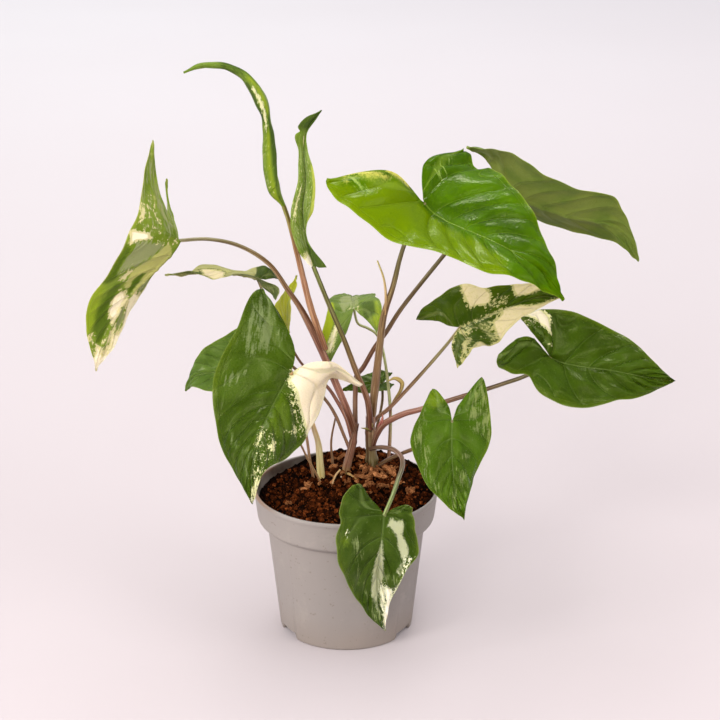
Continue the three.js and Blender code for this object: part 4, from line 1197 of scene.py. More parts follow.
def mottling(paint, flat, count, margin, grain):
    """Noise drawn out along the veins, finer noise, and the two together."""
    drawn = paint.node("ShaderNodeCombineXYZ", paint.times(count, 1.9), paint.times(margin, 3.4),
                       paint.measured("seed"))
    streak = paint.noise(drawn.outputs[0], 3.6, 5.0, 0.7)
    speckle = paint.noise(flat, grain, 3.0, 0.62)
    return streak, speckle, paint.plus(paint.times(streak, 0.5), paint.times(speckle, 0.5))


TONE_LAYERS = (              # tone, how soft its edge is, and how strong it is
    ("deep", 0.3, 0.85), ("light", 0.2, 0.9), ("glow", 0.42, 0.95), ("pale", 0.22, 0.85),
    ("cream", 0.11, 1.0),
)
print("tones, from the lowest layer:", ", ".join(layer[0] for layer in TONE_LAYERS))


# %% Leaf material
def leaf_skin(name, tones, gloss, flecks, veins, puckered, grain=95.0, under_share=0.62, shine=0.16):
    paint = Paint(name, roughness=gloss, specular=shine)
    paint.shade("Subsurface Weight", 0.35)
    paint.shade("Subsurface Radius", (1.0, 1.0, 0.4))
    paint.shade("Subsurface Scale", 0.0015)
    paint.shade("Specular Tint", "FAFFB4")
    flat = paint.carried("flat")
    count, margin, from_rib = paint.split(paint.carried("veins"))
    vein, rib = vein_lines(paint, count, margin, from_rib)
    streak, speckle, broken = mottling(paint, flat, count, margin, grain)
    offset = paint.times(paint.minus(broken, 0.5), 3.2)
    gentle = paint.times(offset, 0.45)
    brushed = paint.noise(paint.stretch(flat, (0.16, 1, 1)), 48.0, 4.0, 0.6)
    brushed = paint.plus(paint.times(brushed, 0.8), paint.times(speckle, 0.2))
    brushed = paint.times(paint.minus(brushed, 0.5), 3.0)
    broad = paint.noise(flat, 5.0, 3.0)

    def cover(tone, soft):
        pattern = {"pale": brushed, "cream": offset}.get(tone, gentle)
        value = paint.plus(paint.measured(tone), pattern)
        inside = paint.step(value, 0.5 - soft, 0.5 + soft)
        return paint.times(inside, paint.step(paint.measured(tone), 0.02, 0.12))

    colour = paint.mix(paint.step(broad, 0.35, 0.65), tones["green"], tones["green_two"])
    fleck = paint.times(paint.step(broken, 0.56, 0.64), flecks)
    colour = paint.mix(fleck, colour, tones["pale"])
    for tone, soft, strength in TONE_LAYERS:
        toned = tones[tone]
        if tone == "cream":
            clean = paint.mix(paint.step(speckle, 0.5, 0.75), tones["cream"], tones["cream_two"])
            toned = paint.mix(paint.step(paint.measured(tone), 0.8, 0.99), tones["straw"], clean)
        colour = paint.mix(paint.times(cover(tone, soft), strength), colour, toned)
    fine = paint.noise(flat, 150.0, 3.0)
    colour = paint.mix(paint.times(paint.step(fine, 0.5, 0.8), 0.3), colour,
                       paint.mix(1.0, colour, "B4BEA4", "MULTIPLY"))
    lighter = paint.mix(0.55, colour, tones["vein"])
    colour = paint.mix(paint.times(vein, veins * 0.4), colour, lighter)
    colour = paint.mix(paint.times(rib, veins), colour, lighter)
    # painted light: a thin paler line just inside the margin, as light shining through the thin edge of the
    # blade
    rim = paint.times(paint.step(margin, 0.975, 1.0), 0.5)
    colour = paint.mix(rim, colour, tones["vein"])
    beneath = paint.mix(under_share, colour, paint.mix(paint.step(broad, 0.4, 0.6), *tones["under"]))
    colour = paint.mix(paint.measured("under"), colour, beneath)

    sunk = paint.times(paint.math("MAXIMUM", vein, rib), -1.0)
    relief = paint.bump(sunk, 0.0005, 0.8)
    relief = paint.bump(paint.cells(flat, 46.0), 0.0004 * puckered, 0.5, relief)
    relief = paint.bump(streak, 0.0006 * puckered, 0.3, relief)
    dull = paint.plus(gloss, paint.times(paint.measured("under"), 0.22))
    dull = paint.plus(dull, paint.times(speckle, 0.12))
    return paint.finish(colour, dull, relief)


print("leaf skin ready")


# %% [markdown]
# ## Building one blade
#
# The flat grid is bent into space and moved a little along its own normal: down along the
# midrib and the side veins, up between them, and up and down at the wavy margin. Cream
# tissue has few veins, so a leaf can have a calm left lobe. A second layer underneath
# closes the blade. It thins out towards the margin, because a thick rounded edge is what
# makes a modelled leaf look like rubber.

# %% Blade maker
BLADE_HALF = 0.26            # half the thickness beside the midrib, in millimetres
EDGE_HALF = 0.10
OFF_RIB = 99.0               # stands for far from the midrib, where the distance has no meaning


def welded(places, faces):
    """Points that share a place become one, and faces that fold to a line go."""
    keys = np.round(places * 1e5).astype(np.int64)
    _, first, back = np.unique(keys, axis=0, return_index=True, return_inverse=True)
    back = back.ravel()
    kept = []
    for face in faces:
        corners = []
        for corner in back[list(face)]:
            if corner not in corners:
                corners.append(int(corner))
        if len(corners) > 2:
            kept.append(tuple(corners))
    return first, kept


def skin_fields(places, marks, seed, streak_seed, veins):
    """What the skin reads at each point of both layers of a blade."""
    count = len(places)
    fields = {tone: np.tile(field, 2) for tone, field in tone_fields(places, marks).items()}
    fields["under"] = np.repeat([0.0, 1.0], count)
    fields["seed"] = np.full(2 * count, streak_seed)
    fields["flat"] = np.tile(np.column_stack([places, np.full(count, seed)]), (2, 1))
    fields["veins"] = np.tile(np.column_stack(veins), (2, 1))
    return fields


def grown_blade(leaf, joint, marks, seed, rows, columns):
    """The points, faces and fields of one grown leaf blade."""
    flat = flat_places(leaf["back"], leaf["side"], leaf["width"])
    landmarks = [joint, *leaf["rib"], *leaf["left"], *leaf["right"]]
    bend = bending(flat, np.array(landmarks, float))
    parts = []
    faces = []
    for half in (0, 1):
        rounding = np.array(leaf.get("round_lobes", ((0, 0, 0), (0, 0, 0)))[half])
        bays = leaf.get("bays", ([], []))[half]
        places, margins, along = half_grid(flat, half, bays, rounding, *rows, columns)
        quads = grid_faces(*margins.shape, half * margins.size)
        faces += quads if half == 0 else [quad[::-1] for quad in quads]
        parts.append((places.reshape(-1, 2), margins.ravel(), along.ravel()))
    places, margin, along = (np.concatenate([part[k] for part in parts]) for k in range(3))
    left = np.arange(len(margin)) < len(margin) / 2
    first, faces = welded(places, faces)
    places, margin, along, left = places[first], margin[first], along[first], left[first]

    step = 0.004
    across_s = bend(places + (step, 0)) - bend(places - (step, 0))
    across_v = bend(places + (0, step)) - bend(places - (0, step))
    normal = unit(np.cross(across_s, across_v))
    length = np.linalg.norm(bend(np.array([[1.0, 0]])) - bend(np.array([[0.0, 0]])))

    ends = fade(along, 0, 0.05) * fade(along, 1, 0.93)
    wave = leaf["wave"] * margin ** 2 * np.sin(
        TURN * leaf.get("waves", 3) * along + np.where(left, 0, 2)) * ends
    count = vein_count(along, margin, seed)
    near = near_vein(count)
    on_rib = along > LOBE_SHARE - 0.001
    rib_off = np.where(on_rib, np.abs(places[:, 1]) * length, OFF_RIB)
    rib_wide = 1.5 - 1.1 * np.clip(places[:, 0], 0, 1)
    inner = fade(margin, 0.02, 0.2) * fade(margin, 1.0, 0.8)
    bulge = leaf["pucker"] * (1 - (1 - 2 * near) ** 2) ** 0.8 * inner
    calm = leaf.get("calm", 0) * left * fade(along, LOBE_SHARE, 0.2)
    bulge = bulge * (1 - calm)
    uneven = 1 + 0.5 * np.sin(count * 2.7 + seed) * np.sin(margin * 9 + seed * 2)
    side = np.exp(-(near / 0.12) ** 2) * fade(margin, 0.95, 0.6)
    rib = np.exp(-(rib_off / rib_wide) ** 2)
    ripple = 0.35 * leaf["wave"] * np.sin(along * 61 + seed * 3) * fade(margin, 0.6, 1.0) * ends
    lift = wave + bulge * uneven - 0.25 * side * (1 - calm) - 0.45 * rib + ripple
    half_thick = BLADE_HALF + (EDGE_HALF - BLADE_HALF) * fade(margin, 0.8, 1.0)
    top_off = lift + half_thick
    low_off = lift - half_thick - 1.3 * rib * fade(places[:, 0], 1.0, 0.3) - 0.25 * side
    middle = bend(places)
    points, faces = sheet(middle + normal * top_off[:, None],
                          middle + normal * low_off[:, None], faces)

    lobe_off = (margin - lobe_vein_place(along)) * 7 * fade(along, 0.0, 0.08)
    from_rib = np.where(on_rib, places[:, 1] * length / rib_wide / 0.8,
                        np.where(along > 0.28, 3, lobe_off + 9 * fade(along, 0.22, 0.3)))
    return points, faces, skin_fields(places, marks, seed, seed * 3.7, (count, margin, from_rib))


print("blade:", 2 * BLADE_HALF, "mm thick, and", 2 * EDGE_HALF, "mm at the margin")


# %% [markdown]
# ## The leaves, one by one
#
# Each leaf has its own proportions, bays in its margin, landmarks and marks. Nearly all
# the numbers of its form are the solid's. Its joint is the end of its stalk. The other
# landmarks stand in the order of its flat places: the rest of the rib, then the left half
# and the right half. Its tones are named, so one leaf can be made fresher or duller
# without touching the others. The six largest leaves get the finest mesh.

# %% Tones
CREAMS = dict(cream="F8ECD6", cream_two="EBDFBC", straw="CFCB9A")
DARK = dict(CREAMS, green="34490A", green_two="40580D", pale="6E7A4E", light="4A600C",
            glow="5C6A10", deep="223204", vein="66783A", under=("4E6224", "5C7030"))
MIDDLE = dict(CREAMS, green="344C06", green_two="3F5C0A", pale="76824A", light="5A6C1A",
              glow="5E740E", deep="24360A", vein="74864A", under=("5E7630", "6C8440"))
OVERHANG = dict(MIDDLE, green="2A3E08", green_two="3A4E14", pale="8A9660", light="AEB08E",
                straw="D8D8B8")
DEEP = dict(DARK, green="2B3E04", green_two="354B0A", light="42560C", cream="E8DCC2",
            cream_two="DCCFAE")
FRESH = dict(CREAMS, green="345200", green_two="426400", pale="8CA24C", light="C4BC5C",
             glow="5C7400", deep="203C00", vein="78902C", under=("6E8A20", "7C9430"))
MARBLED = dict(cream="C6B892", cream_two="B6AC7A", straw="A8A26C", green="2A3E00",
               green_two="384A04", pale="848A58", light="9C9A62", glow="64741A",
               deep="2A3C08", vein="94955C", under=("7C8A48", "939C62"))
HANGING = dict(cream="F4E6CE", cream_two="E4D6B0", straw="D2C69A", green="667A1C",
               green_two="768A2E", pale="8C8E68", light="B6B26C", glow="8A9E26",
               deep="425810", vein="B4AF7C", under=("5C7A20", "7A8C3C"))
SHADED = dict(CREAMS, green="59702A", green_two="6A7E38", pale="8C9464", light="8A9A48",
              glow="92A01C", deep="3A4C1C", vein="8C9A5C", under=("576727", "6A7331"))
# painted shade: a darker copy of the shaded tones, for the leaf that stands behind the front left leaf
SHADED_DARKER = dict(SHADED, green="445C1C", green_two="546C2A", pale="76845A", under=DARK["under"])
YELLOW = dict(CREAMS, green="8C9A2E", green_two="A0A448", pale="A8AC78", light="B0AE6A",
              glow="A2A42E", deep="5A721C", vein="C0BE82", under=("8FA030", "A0AC40"))
YOUNG = dict(CREAMS, green="587020", green_two="708632", pale="8E9C66", light="9CA448",
             glow="7E9020", deep="34481A", vein="7C8C50", under=("6E8A40", "7F9A50"))
print("a dark leaf's green in linear light:", [round(c, 3) for c in linear(DARK["green"])])


# %% Leaf forms
LEAVES = {
    "front_left": dict(
        slot="blade_dark", back=(.52, .6), side=(.3, .22), width=(.42, .46), wave=.8, pucker=1.5, calm=.88,
        bays=([(.1, -.015, .05), (.31, -.045, .07), (.5, -.015, .04)], []),
        round_lobes=((0, 0, 0), (0, 0, .5)),
        rib=[(-52, -58, 159), (-56, -92, 126)],
        left=[(11, 10, 164), (-13, -12, 188), (-9, 5, 170), (-21, -18, 149), (-36, -50, 138),
              (-50, -82, 141)],
        right=[(-53, 11, 228), (-35, -11, 206), (-67, -11, 212), (-83, -23, 178), (-78, -48, 149),
               (-66, -75, 136)],
        skin=dict(tones=dict(DARK, green="314508", green_two="3C520E", cream="EEDDC2", cream_two="E4D3B2"),
                  gloss=.22, flecks=.05, veins=.55, grain=80)),
    "far_left": dict(
        slot="blade_marbled", back=(.62, .5), side=(.26, .28), width=(.44, .34), wave=.7, pucker=.6,
        bays=([(.34, -.012, .04), (.56, -.03, .05)], [(.5, -.035, .07)]),
        rib=[(-137, -18, 230), (-156, -24, 186)],
        left=[(-117, -3, 329), (-112, -5, 289), (-123, -24, 303), (-134, -42, 270), (-156, -41, 235),
              (-158, -31, 206)],
        right=[(-111, 14, 300), (-108, 9, 278), (-114, 28, 272), (-122, 20, 242), (-133, 0, 221),
               (-145, -18, 200)],
        skin=dict(tones=HANGING, gloss=.36, flecks=.4, veins=.35, grain=38, under_share=.08)),
    "bright": dict(
        slot="blade_fresh", back=(.34, .4), side=(.4, .44), width=(.46, .42), wave=1.4, waves=4, pucker=1.7,
        bays=([], [(.46, .05, .05), (.55, .04, .045), (.74, -.012, .04)]),
        round_lobes=((0, 0, .7), (-.02, 0, .4)),
        rib=[(88, -64, 283), (128, -85, 253)],
        left=[(73, 27, 314), (48, -9, 315), (82, 13, 307), (96, -10, 309), (113, -42, 293),
              (122, -72, 274)],
        right=[(-11, -50, 316), (29, -36, 316), (2, -64, 303), (35, -76, 284), (76, -94, 276),
               (109, -92, 266)],
        skin=dict(tones=FRESH, gloss=.19, flecks=.05, veins=.6, shine=.085)),
    "back_right": dict(
        slot="blade_grey", back=(.36, .36), side=(.34, .34), width=(.42, .42), wave=.9, pucker=.9,
        bays=([(.47, .08, .06)], [(.55, .03, .05), (.67, -.035, .06)]),
        rib=[(148, 60, 261), (190, 47, 235)],
        left=[(63, 94, 272), (87, 73, 280), (82, 100, 264), (108, 98, 252), (147, 84, 246), (178, 65, 241)],
        right=[(76, 38, 313), (92, 62, 297), (97, 35, 313), (123, 32, 299), (161, 40, 283), (183, 54, 261)],
        skin=dict(tones=SHADED, gloss=.36, flecks=.2, veins=.6)),
    "marbled_right": dict(
        slot="blade_marbled", back=(.46, .42), side=(.26, .3), width=(.4, .34), wave=.9, pucker=.7,
        bays=([(.49, .05, .05)], [(.45, -.015, .04)]),
        rib=[(106, 44, 205), (140, 50, 209)],
        left=[(46, 50, 194), (61, 35, 198), (56, 50, 207), (76, 54, 217), (107, 58, 216), (126, 48, 218)],
        right=[(71, -3, 180), (68, 18, 188), (80, 4, 190), (94, 18, 188), (110, 32, 198), (129, 41, 207)],
        skin=dict(tones=MARBLED, gloss=.3, flecks=.12, veins=.3, grain=34)),
    "dark_right": dict(
        slot="blade_dark", back=(.4, .4), side=(.26, .3), width=(.42, .44), wave=.9, pucker=1.9,
        bays=([], [(.1, -.015, .05), (.28, .07, .05), (.5, -.024, .07), (.65, .02, .04)]),
        round_lobes=((0, 0, .4), (-.03, .05, 1)),
        rib=[(167, -20, 185), (206, -25, 180)],
        left=[(109, -20, 220), (121, -16, 203), (123, -4, 220), (146, 6, 214), (177, -5, 202),
              (193, -26, 192)],
        right=[(94, -32, 198), (116, -15, 204), (103, -26, 185), (128, -37, 172), (162, -37, 169),
               (189, -32, 174)],
        skin=dict(tones=DEEP, gloss=.2, flecks=.03, veins=.7, grain=50)),
    "small_right": dict(
        slot="blade_green", back=(.46, .36), side=(.3, .2), width=(.42, .42), wave=.6, pucker=1.3,
        bays=([], [(.33, -.02, .1)]), round_lobes=((0, 0, .6), (0, 0, 1)),
        rib=[(66, -72, 138), (72, -97, 118)],
        left=[(85, -26, 183), (70, -35, 167), (90, -31, 165), (90, -43, 147), (80, -61, 131),
              (74, -82, 122)],
        right=[(55, -29, 176), (64, -40, 169), (46, -36, 161), (42, -45, 142), (50, -67, 128),
               (62, -86, 122)],
        skin=dict(tones=MIDDLE, gloss=.2, flecks=.1, veins=.5, grain=70)),
    "over_rim": dict(
        slot="blade_green", back=(.16, .34), side=(.22, .26), width=(.32, .44), wave=.9, waves=4, pucker=.9,
        bays=([(.07, -.025, .04), (.17, .03, .03), (.45, -.04, .05)], [(.31, .05, .045), (.48, -.035, .06)]),
        round_lobes=((0, 0, 1), (0, 0, 1)),
        rib=[(20, -62, 65), (25, -66, 26)],
        left=[(39, -67, 114), (30, -61, 109), (42, -71, 108), (44, -71, 90), (34, -73, 63), (27, -64, 41)],
        right=[(8, -66, 128), (17, -61, 114), (-3, -69, 116), (-5, -82, 94), (3, -80, 64), (14, -71, 40)],
        skin=dict(tones=OVERHANG, gloss=.24, flecks=.15, veins=.5, grain=48)),
    "centre": dict(
        slot="blade_grey", back=(.62, .5), side=(.34, .34), width=(.44, .44), wave=.5, pucker=.5,
        rib=[(4, 64, 205), (4, 87, 196)],
        left=[(-12, 21, 171), (0, 27, 193), (-17, 28, 185), (-12, 42, 202), (-12, 63, 204), (-2, 78, 202)],
        right=[(20, 16, 197), (11, 27, 204), (23, 25, 212), (19, 43, 212), (19, 64, 207), (10, 78, 200)],
        skin=dict(tones=dict(SHADED, under=("7F9A50", "8A9A58")), gloss=.4, flecks=.3, veins=.4)),
    "thin_left": dict(
        slot="blade_marbled", back=(.36, .36), side=(.26, .26), width=(.3, .34), wave=.6, pucker=.4,
        rib=[(-88, 64, 223), (-119, 57, 223)],
        left=[(-46, 43, 210), (-54, 59, 213), (-44, 52, 216), (-66, 49, 225), (-87, 52, 222),
              (-106, 56, 225)],
        right=[(-45, 87, 210), (-52, 72, 215), (-53, 87, 219), (-69, 85, 216), (-94, 78, 223),
               (-108, 64, 220)],
        skin=dict(tones=dict(MARBLED, under=("A3AC78", "BDBF8D")), gloss=.42, flecks=.4, veins=.3,
                  under_share=.15)),
    "dark_left": dict(
        slot="blade_dark", back=(.36, .36), side=(.24, .24), width=(.42, .42), wave=.6, pucker=.5,
        rib=[(-86, 27, 166), (-106, 36, 149)],
        left=[(-46, 6, 188), (-55, 18, 184), (-52, 4, 176), (-64, 5, 164), (-87, 11, 159), (-100, 26, 156)],
        right=[(-48, 34, 202), (-55, 27, 189), (-59, 40, 197), (-74, 43, 189), (-92, 35, 180),
               (-102, 37, 164)],
        skin=dict(tones=SHADED_DARKER, gloss=.3, flecks=.2, veins=.4)),
    "yellow_back": dict(
        slot="blade_fresh", back=(.4, .4), side=(.26, .26), width=(.4, .4), wave=.5, pucker=.4,
        rib=[(-39, 58, 202), (-33, 62, 221)],
        left=[(-53, 67, 173), (-45, 61, 179), (-49, 70, 181), (-48, 73, 194), (-43, 69, 205),
              (-36, 66, 214)],
        right=[(-46, 40, 175), (-43, 50, 180), (-40, 40, 182), (-37, 43, 194), (-36, 50, 208),
               (-33, 59, 214)],
        skin=dict(tones=YELLOW, gloss=.4, flecks=.1, veins=.4)),
    "low_back": dict(
        slot="blade_dark", back=(.4, .4), side=(.26, .26), width=(.42, .42), wave=.5, pucker=.4,
        rib=[(12, 58, 145), (-3, 56, 142)],
        left=[(32, 53, 147), (27, 58, 147), (29, 49, 146), (22, 46, 145), (12, 48, 143), (3, 52, 143)],
        right=[(31, 70, 149), (27, 64, 147), (27, 73, 149), (20, 72, 150), (11, 67, 148), (2, 60, 145)],
        skin=dict(tones=DARK, gloss=.3, flecks=.1, veins=.4)),
}
print("grown leaves:", len(LEAVES))


# %% Leaf markings
MARKS = {
    "front_left": [
        deep(.5, (.25, .4), (.3, .2), (.6, .15), (.75, .15)),
        deep(.5, (.2, -.02), (.22, -.45), (.6, -.4), (1, -.05), (1, 0)),
        light(.62, (.1, 0), (.15, .12), (.3, .2), (.45, .2), (.6, .02)),
        pale(.38, (.47, 0), (.5, .16), (.66, .16), (.85, .08), (1, 0)),
        cream(.36, (.09, .04), (.13, .14), (.18, .28), (.26, .38), (.3, .32), (.25, .2), (.17, .06)),
        cream(.28, (.44, 0), (.46, .19), (.64, .18), (.8, .12), (.96, .02)),
        cream(1, (-.65, .4), (-.65, .05), (-.2, .001), (.06, .001), (.1, .08), (.15, .16), (.18, .25),
              (.22, .32), (.26, .45), (.2, .55), (0, .6), (-.3, .55)),
        cream(.85, (.27, .29), (.28, .22), (.33, .24), (.32, .3)),
        cream(.78, (.33, .22), (.37, .18), (.36, .22)),
        cream(.88, (.49, .15), (.51, .11), (.57, .1), (.61, .13), (.58, .17)),
        cream(.92, (.45, -.003), (.5, .025), (.57, .02), (.62, 0)),
        cream(.62, (.76, .12), (.77, .02), (.82, 0), (.8, .1)),
        cream(.97, (.82, .12), (.84, .05), (.93, .01), (1, 0), (.92, .06)),
        pale(.48, (-.52, -.22), (-.3, -.1), (-.08, -.1), (-.04, -.3), (-.3, -.32)),
        pale(.66, (-.4, -.2), (-.3, -.14), (-.12, -.14), (-.14, -.21), (-.3, -.24)),
        pale(.5, (.03, -.34), (.06, -.27), (.14, -.28), (.12, -.4)),
        pale(.58, (.45, -.25), (.5, -.23), (.6, -.15), (.56, -.19)),
        pale(.42, (.62, -.04), (.62, -.1), (.82, -.05), (.8, -.01)),
    ],
    "far_left": [
        # partly painted shade: the left lobe is darker green of its own, and this mark covers all of it,
        # darker still, as shade
        deep(1, (-.75, .34), (-.4, .1), (-.1, .02), (0, .03), (-.02, .42), (-.3, .45)),
        pale(.4, (-.62, .31), (-.4, .13), (-.1, .03), (0, .05), (-.04, .38), (-.3, .4)),
        light(1, (-.62, .28), (-.1, .2), (-.1, .19), (-.62, .26)),
        pale(.9, (-.4, .16), (-.2, .075), (0, .015), (-.2, .06), (-.4, .14)),
        deep(.9, (.06, .46), (.08, .37), (.3, .3), (.35, .33), (.35, .45)),
        pale(.7, (-.6, .28), (-.48, .24), (-.3, .21), (-.35, .27), (-.5, .3)),
        cream(.34, (-.3, .27), (-.16, .16), (0, .16), (.02, .42), (-.18, .4)),
        cream(.62, (-.24, .4), (-.18, .32), (-.08, .33), (-.06, .42)),
        cream(1.3, (-.02, .44), (-.02, .3), (.02, .26), (.05, .31), (.07, .4)),
        light(1, (0, .1), (.08, .02), (.3, -.06), (.45, -.02), (.5, .02), (.46, .09), (.38, .16),
              (.28, .26), (.2, .24), (.1, .16)),
        pale(1, (.05, .36), (.03, .2), (.05, .13), (.12, .16), (.2, .21), (.27, .25), (.25, .33),
             (.15, .36)),
        cream(.5, (.02, .22), (0, 0), (.04, .02), (.05, .2)),
        cream(.62, (.22, .3), (.23, .22), (.34, .17), (.35, .26)),
        cream(1, (.5, 0), (.2, -.14), (.2, -.4), (.9, -.1), (1, 0), (.83, .06), (.68, 0)),
        pale(.62, (.28, -.05), (.3, -.3), (.4, -.3), (.42, -.03)),
        pale(.7, (.5, 0), (.52, -.06), (.6, -.13), (.7, -.1), (.66, -.01)),
        pale(.5, (.7, .01), (.7, -.06), (.85, -.04), (.85, 0)),
        deep(1, (.27, .12), (.27, .06), (.36, .03), (.5, 0), (.48, .03), (.33, .11)),
        cream(1.2, (.39, .17), (.42, .07), (.48, .01), (.66, -.01), (.66, .05), (.56, .14)),
        glow(1, (.35, .42), (.36, .32), (.5, .21), (.65, .14), (.73, .13), (.74, .17), (.55, .3),
             (.44, .42)),
        deep(1, (.34, .27), (.33, .2), (.48, .14), (.6, .08), (.63, .03), (.8, .03), (.8, .08), (.7, .13),
             (.5, .21)),
        cream(1, (.74, .17), (.73, .12), (.8, .09), (.8, .02), (.72, 0), (.72, -.1), (1, -.05), (1, .05),
              (.88, .1)),
        green(.8, (.79, .14), (.78, .1), (.86, .06), (.9, .08)),
        green(.5, (.75, 0), (.77, -.04), (.86, -.02), (.84, .01)),
    ],
    "bright": [
        # Painted light on this leaf: the two yellow-green marks on its right half are partly its own colour
        # and partly light shining through the blade, the faint pale mark on the left lobe is a painted
        # sheen, and the pale streak on the right lobe with the light streak round it is partly pale
        # variegation and partly a painted highlight.
        glow(.78, (-.5, -.01), (-.5, -.6), (.5, -.6), (.72, -.25), (.6, -.1), (.3, -.06), (0, -.03)),
        glow(1, (-.5, -.05), (-.5, -.6), (.1, -.6), (.08, -.2), (-.05, -.1)),
        deep(.45, (.05, .05), (.2, .3), (.4, .3), (.7, .08), (.5, .03)),
        light(.8, (-.25, -.13), (-.12, -.03), (-.06, -.06), (-.2, -.17)),
        light(.6, (-.38, -.36), (-.33, -.26), (-.15, -.14), (-.15, -.2), (-.3, -.4)),
        pale(.8, (-.31, -.34), (-.28, -.31), (-.16, -.31), (-.22, -.35)),
        pale(.36, (-.3, .35), (-.22, .28), (-.02, .1), (-.05, .2), (-.15, .32)),
    ],
    "back_right": [
        deep(.8, (-.5, .0), (-.5, .5), (.5, .5), (.8, .1), (.6, 0)),
        pale(.5, (-.3, .1), (-.1, .35), (.1, .3), (0, .1)),
    ],
    "marbled_right": [
        cream(1.25, (.1, .45), (.1, .33), (.12, .22), (.14, .13), (.2, .14), (.28, .12), (.33, .13),
              (.34, .22), (.31, .3), (.25, .36)),
        cream(.44, (.27, .15), (.27, .04), (.5, .02), (.52, .15), (.4, .2)),
        cream(1.25, (.52, .3), (.55, .15), (.58, .08), (.68, .04), (.78, .06), (.82, .1), (.7, .2)),
        cream(.45, (.72, .06), (.76, .01), (.97, 0), (.85, .06)),
        cream(1, (-.45, -.25), (-.2, -.05), (0, 0), (.05, .01), (.5, .01), (.6, -.02), (.75, -.06),
              (.85, -.02), (1, 0), (.8, -.15), (.5, -.3), (.2, -.42), (-.1, -.45), (-.35, -.42)),
        light(.52, (0, -.01), (.05, -.3), (.24, -.33), (.3, -.1), (.42, -.03), (.2, -.01)),
        green(.78, (-.04, -.03), (-.2, -.12), (-.38, -.25), (-.38, -.31), (-.25, -.27), (-.12, -.18),
              (0, -.12)),
        green(.66, (-.3, -.31), (-.2, -.3), (0, -.17), (.08, -.09), (.15, -.1), (.16, -.18), (.06, -.22),
              (-.12, -.32)),
        green(.6, (.05, -.24), (.16, -.2), (.14, -.32), (.06, -.33)),
        green(.55, (-.3, -.33), (-.2, -.35), (-.22, -.38), (-.32, -.36)),
        green(.5, (.1, -.03), (.36, -.08), (.42, -.06), (.3, -.03)),
        green(.9, (.5, .02), (.56, -.01), (.68, -.06), (.78, -.05), (.92, 0), (.8, .03), (.62, .03)),
    ],
    "dark_right": [
        light(.5, (.08, -.02), (.1, -.06), (.45, -.27), (.42, -.22)),
        light(.5, (.3, -.02), (.33, -.05), (.62, -.18), (.6, -.15)),
        cream(.42, (-.4, .22), (-.35, .27), (-.2, .22), (-.25, .18)),
        cream(1.3, (-.42, .3), (-.3, .38), (-.1, .34), (-.07, .2), (-.14, .24), (-.3, .27)),
        cream(.8, (-.07, .1), (-.1, .12), (-.05, .14)),
    ],
    "small_right": [
        pale(.5, (-.46, .3), (-.36, .22), (-.1, .18), (.02, .2), (.16, .43), (-.2, .4)),
        pale(.85, (-.2, .29), (-.22, .22), (-.1, .2), (-.08, .27)),
        pale(.7, (-.02, .3), (.02, .2), (.1, .27), (.08, .33)),
        green(.9, (-.1, .32), (-.07, .3), (.04, .18), (0, .16)),
        pale(.5, (.29, .24), (.31, .12), (.36, .11), (.34, .2)),
        pale(.45, (.46, .22), (.46, .05), (.66, .02), (.62, .14)),
        pale(.5, (.48, .2), (.6, .15), (.84, .06), (.86, .02), (.7, .1)),
        pale(.5, (.66, 0), (.7, -.08), (.86, -.06), (.86, 0)),
        pale(.5, (.14, -.3), (.18, -.22), (.36, -.27), (.62, -.14), (.62, -.19), (.34, -.33)),
        pale(.55, (-.2, -.28), (.12, -.42), (.12, -.33), (-.08, -.27)),
        glow(.7, (-.38, -.2), (-.34, -.12), (-.2, -.08), (-.15, -.2), (-.25, -.3)),
    ],
    "over_rim": [
        deep(.5, (.1, .1), (.5, .09), (.5, .2), (.3, .24), (.15, .14)),
        light(1, (.2, .003), (.32, .035), (.5, .08), (.63, .11), (.74, .09), (.84, .04), (.88, 0),
              (.78, -.055), (.64, -.075), (.5, -.06), (.33, -.025)),
        pale(.55, (.5, .06), (.45, .12), (.6, .14), (.7, .1), (.7, .07)),
        cream(.9, (.56, .07), (.6, .03), (.76, .0), (.82, .03), (.74, .07), (.64, .1)),
        cream(1.3, (.6, .075), (.64, .09), (.72, .08), (.8, .04), (.9, 0), (1, 0), (.9, .06), (.75, .12),
              (.6, .15)),
        light(1, (.0, .17), (.03, .11), (.02, .05), (.07, .035), (.1, .08), (.13, .13), (.2, .15),
              (.28, .2), (.3, .26), (.25, .28), (.16, .23), (.1, .17), (.05, .19)),
        light(1.1, (.2, .24), (.2, .18), (.3, .215), (.44, .2), (.44, .25), (.3, .28)),
        cream(.6, (.24, .3), (.26, .24), (.42, .22), (.42, .27)),
        cream(1.25, (.28, .4), (.31, .3), (.36, .28), (.44, .25), (.57, .19), (.75, .11), (.8, .13),
              (.6, .25), (.4, .36)),
        pale(.6, (.44, .21), (.45, .17), (.52, .14), (.5, .2)),
        glow(.55, (.03, -.3), (.05, -.36), (.14, -.42), (.18, -.3)),
        cream(.5, (.05, -.3), (.06, -.35), (.09, -.36), (.09, -.3)),
        pale(.42, (.1, -.24), (.15, -.3), (.3, -.24), (.5, -.22), (.3, -.18)),
        pale(.5, (.48, -.22), (.64, -.1), (.66, -.13), (.56, -.2)),
        pale(.42, (.68, 0), (.7, -.12), (.9, -.04), (.9, 0)),
    ],
    "centre": [
        glow(1, (-.6, .45), (-.6, .33), (-.1, .27), (.05, .33), (.3, .3), (.3, .5), (0, .5)),
        pale(.85, (.02, .2), (0, -.1), (.5, -.1), (.6, .1), (.3, .2)),
        cream(.9, (-.42, .33), (-.42, .24), (-.12, .18), (-.1, .27)),
        cream(.6, (0, .1), (0, .02), (.04, 0), (.05, .08)),
        cream(.55, (-.14, -.08), (-.04, -.01), (.03, -.03), (0, -.1)),
        glow(.5, (-.5, -.4), (-.4, -.25), (-.1, -.1), (0, -.2), (-.1, -.4)),
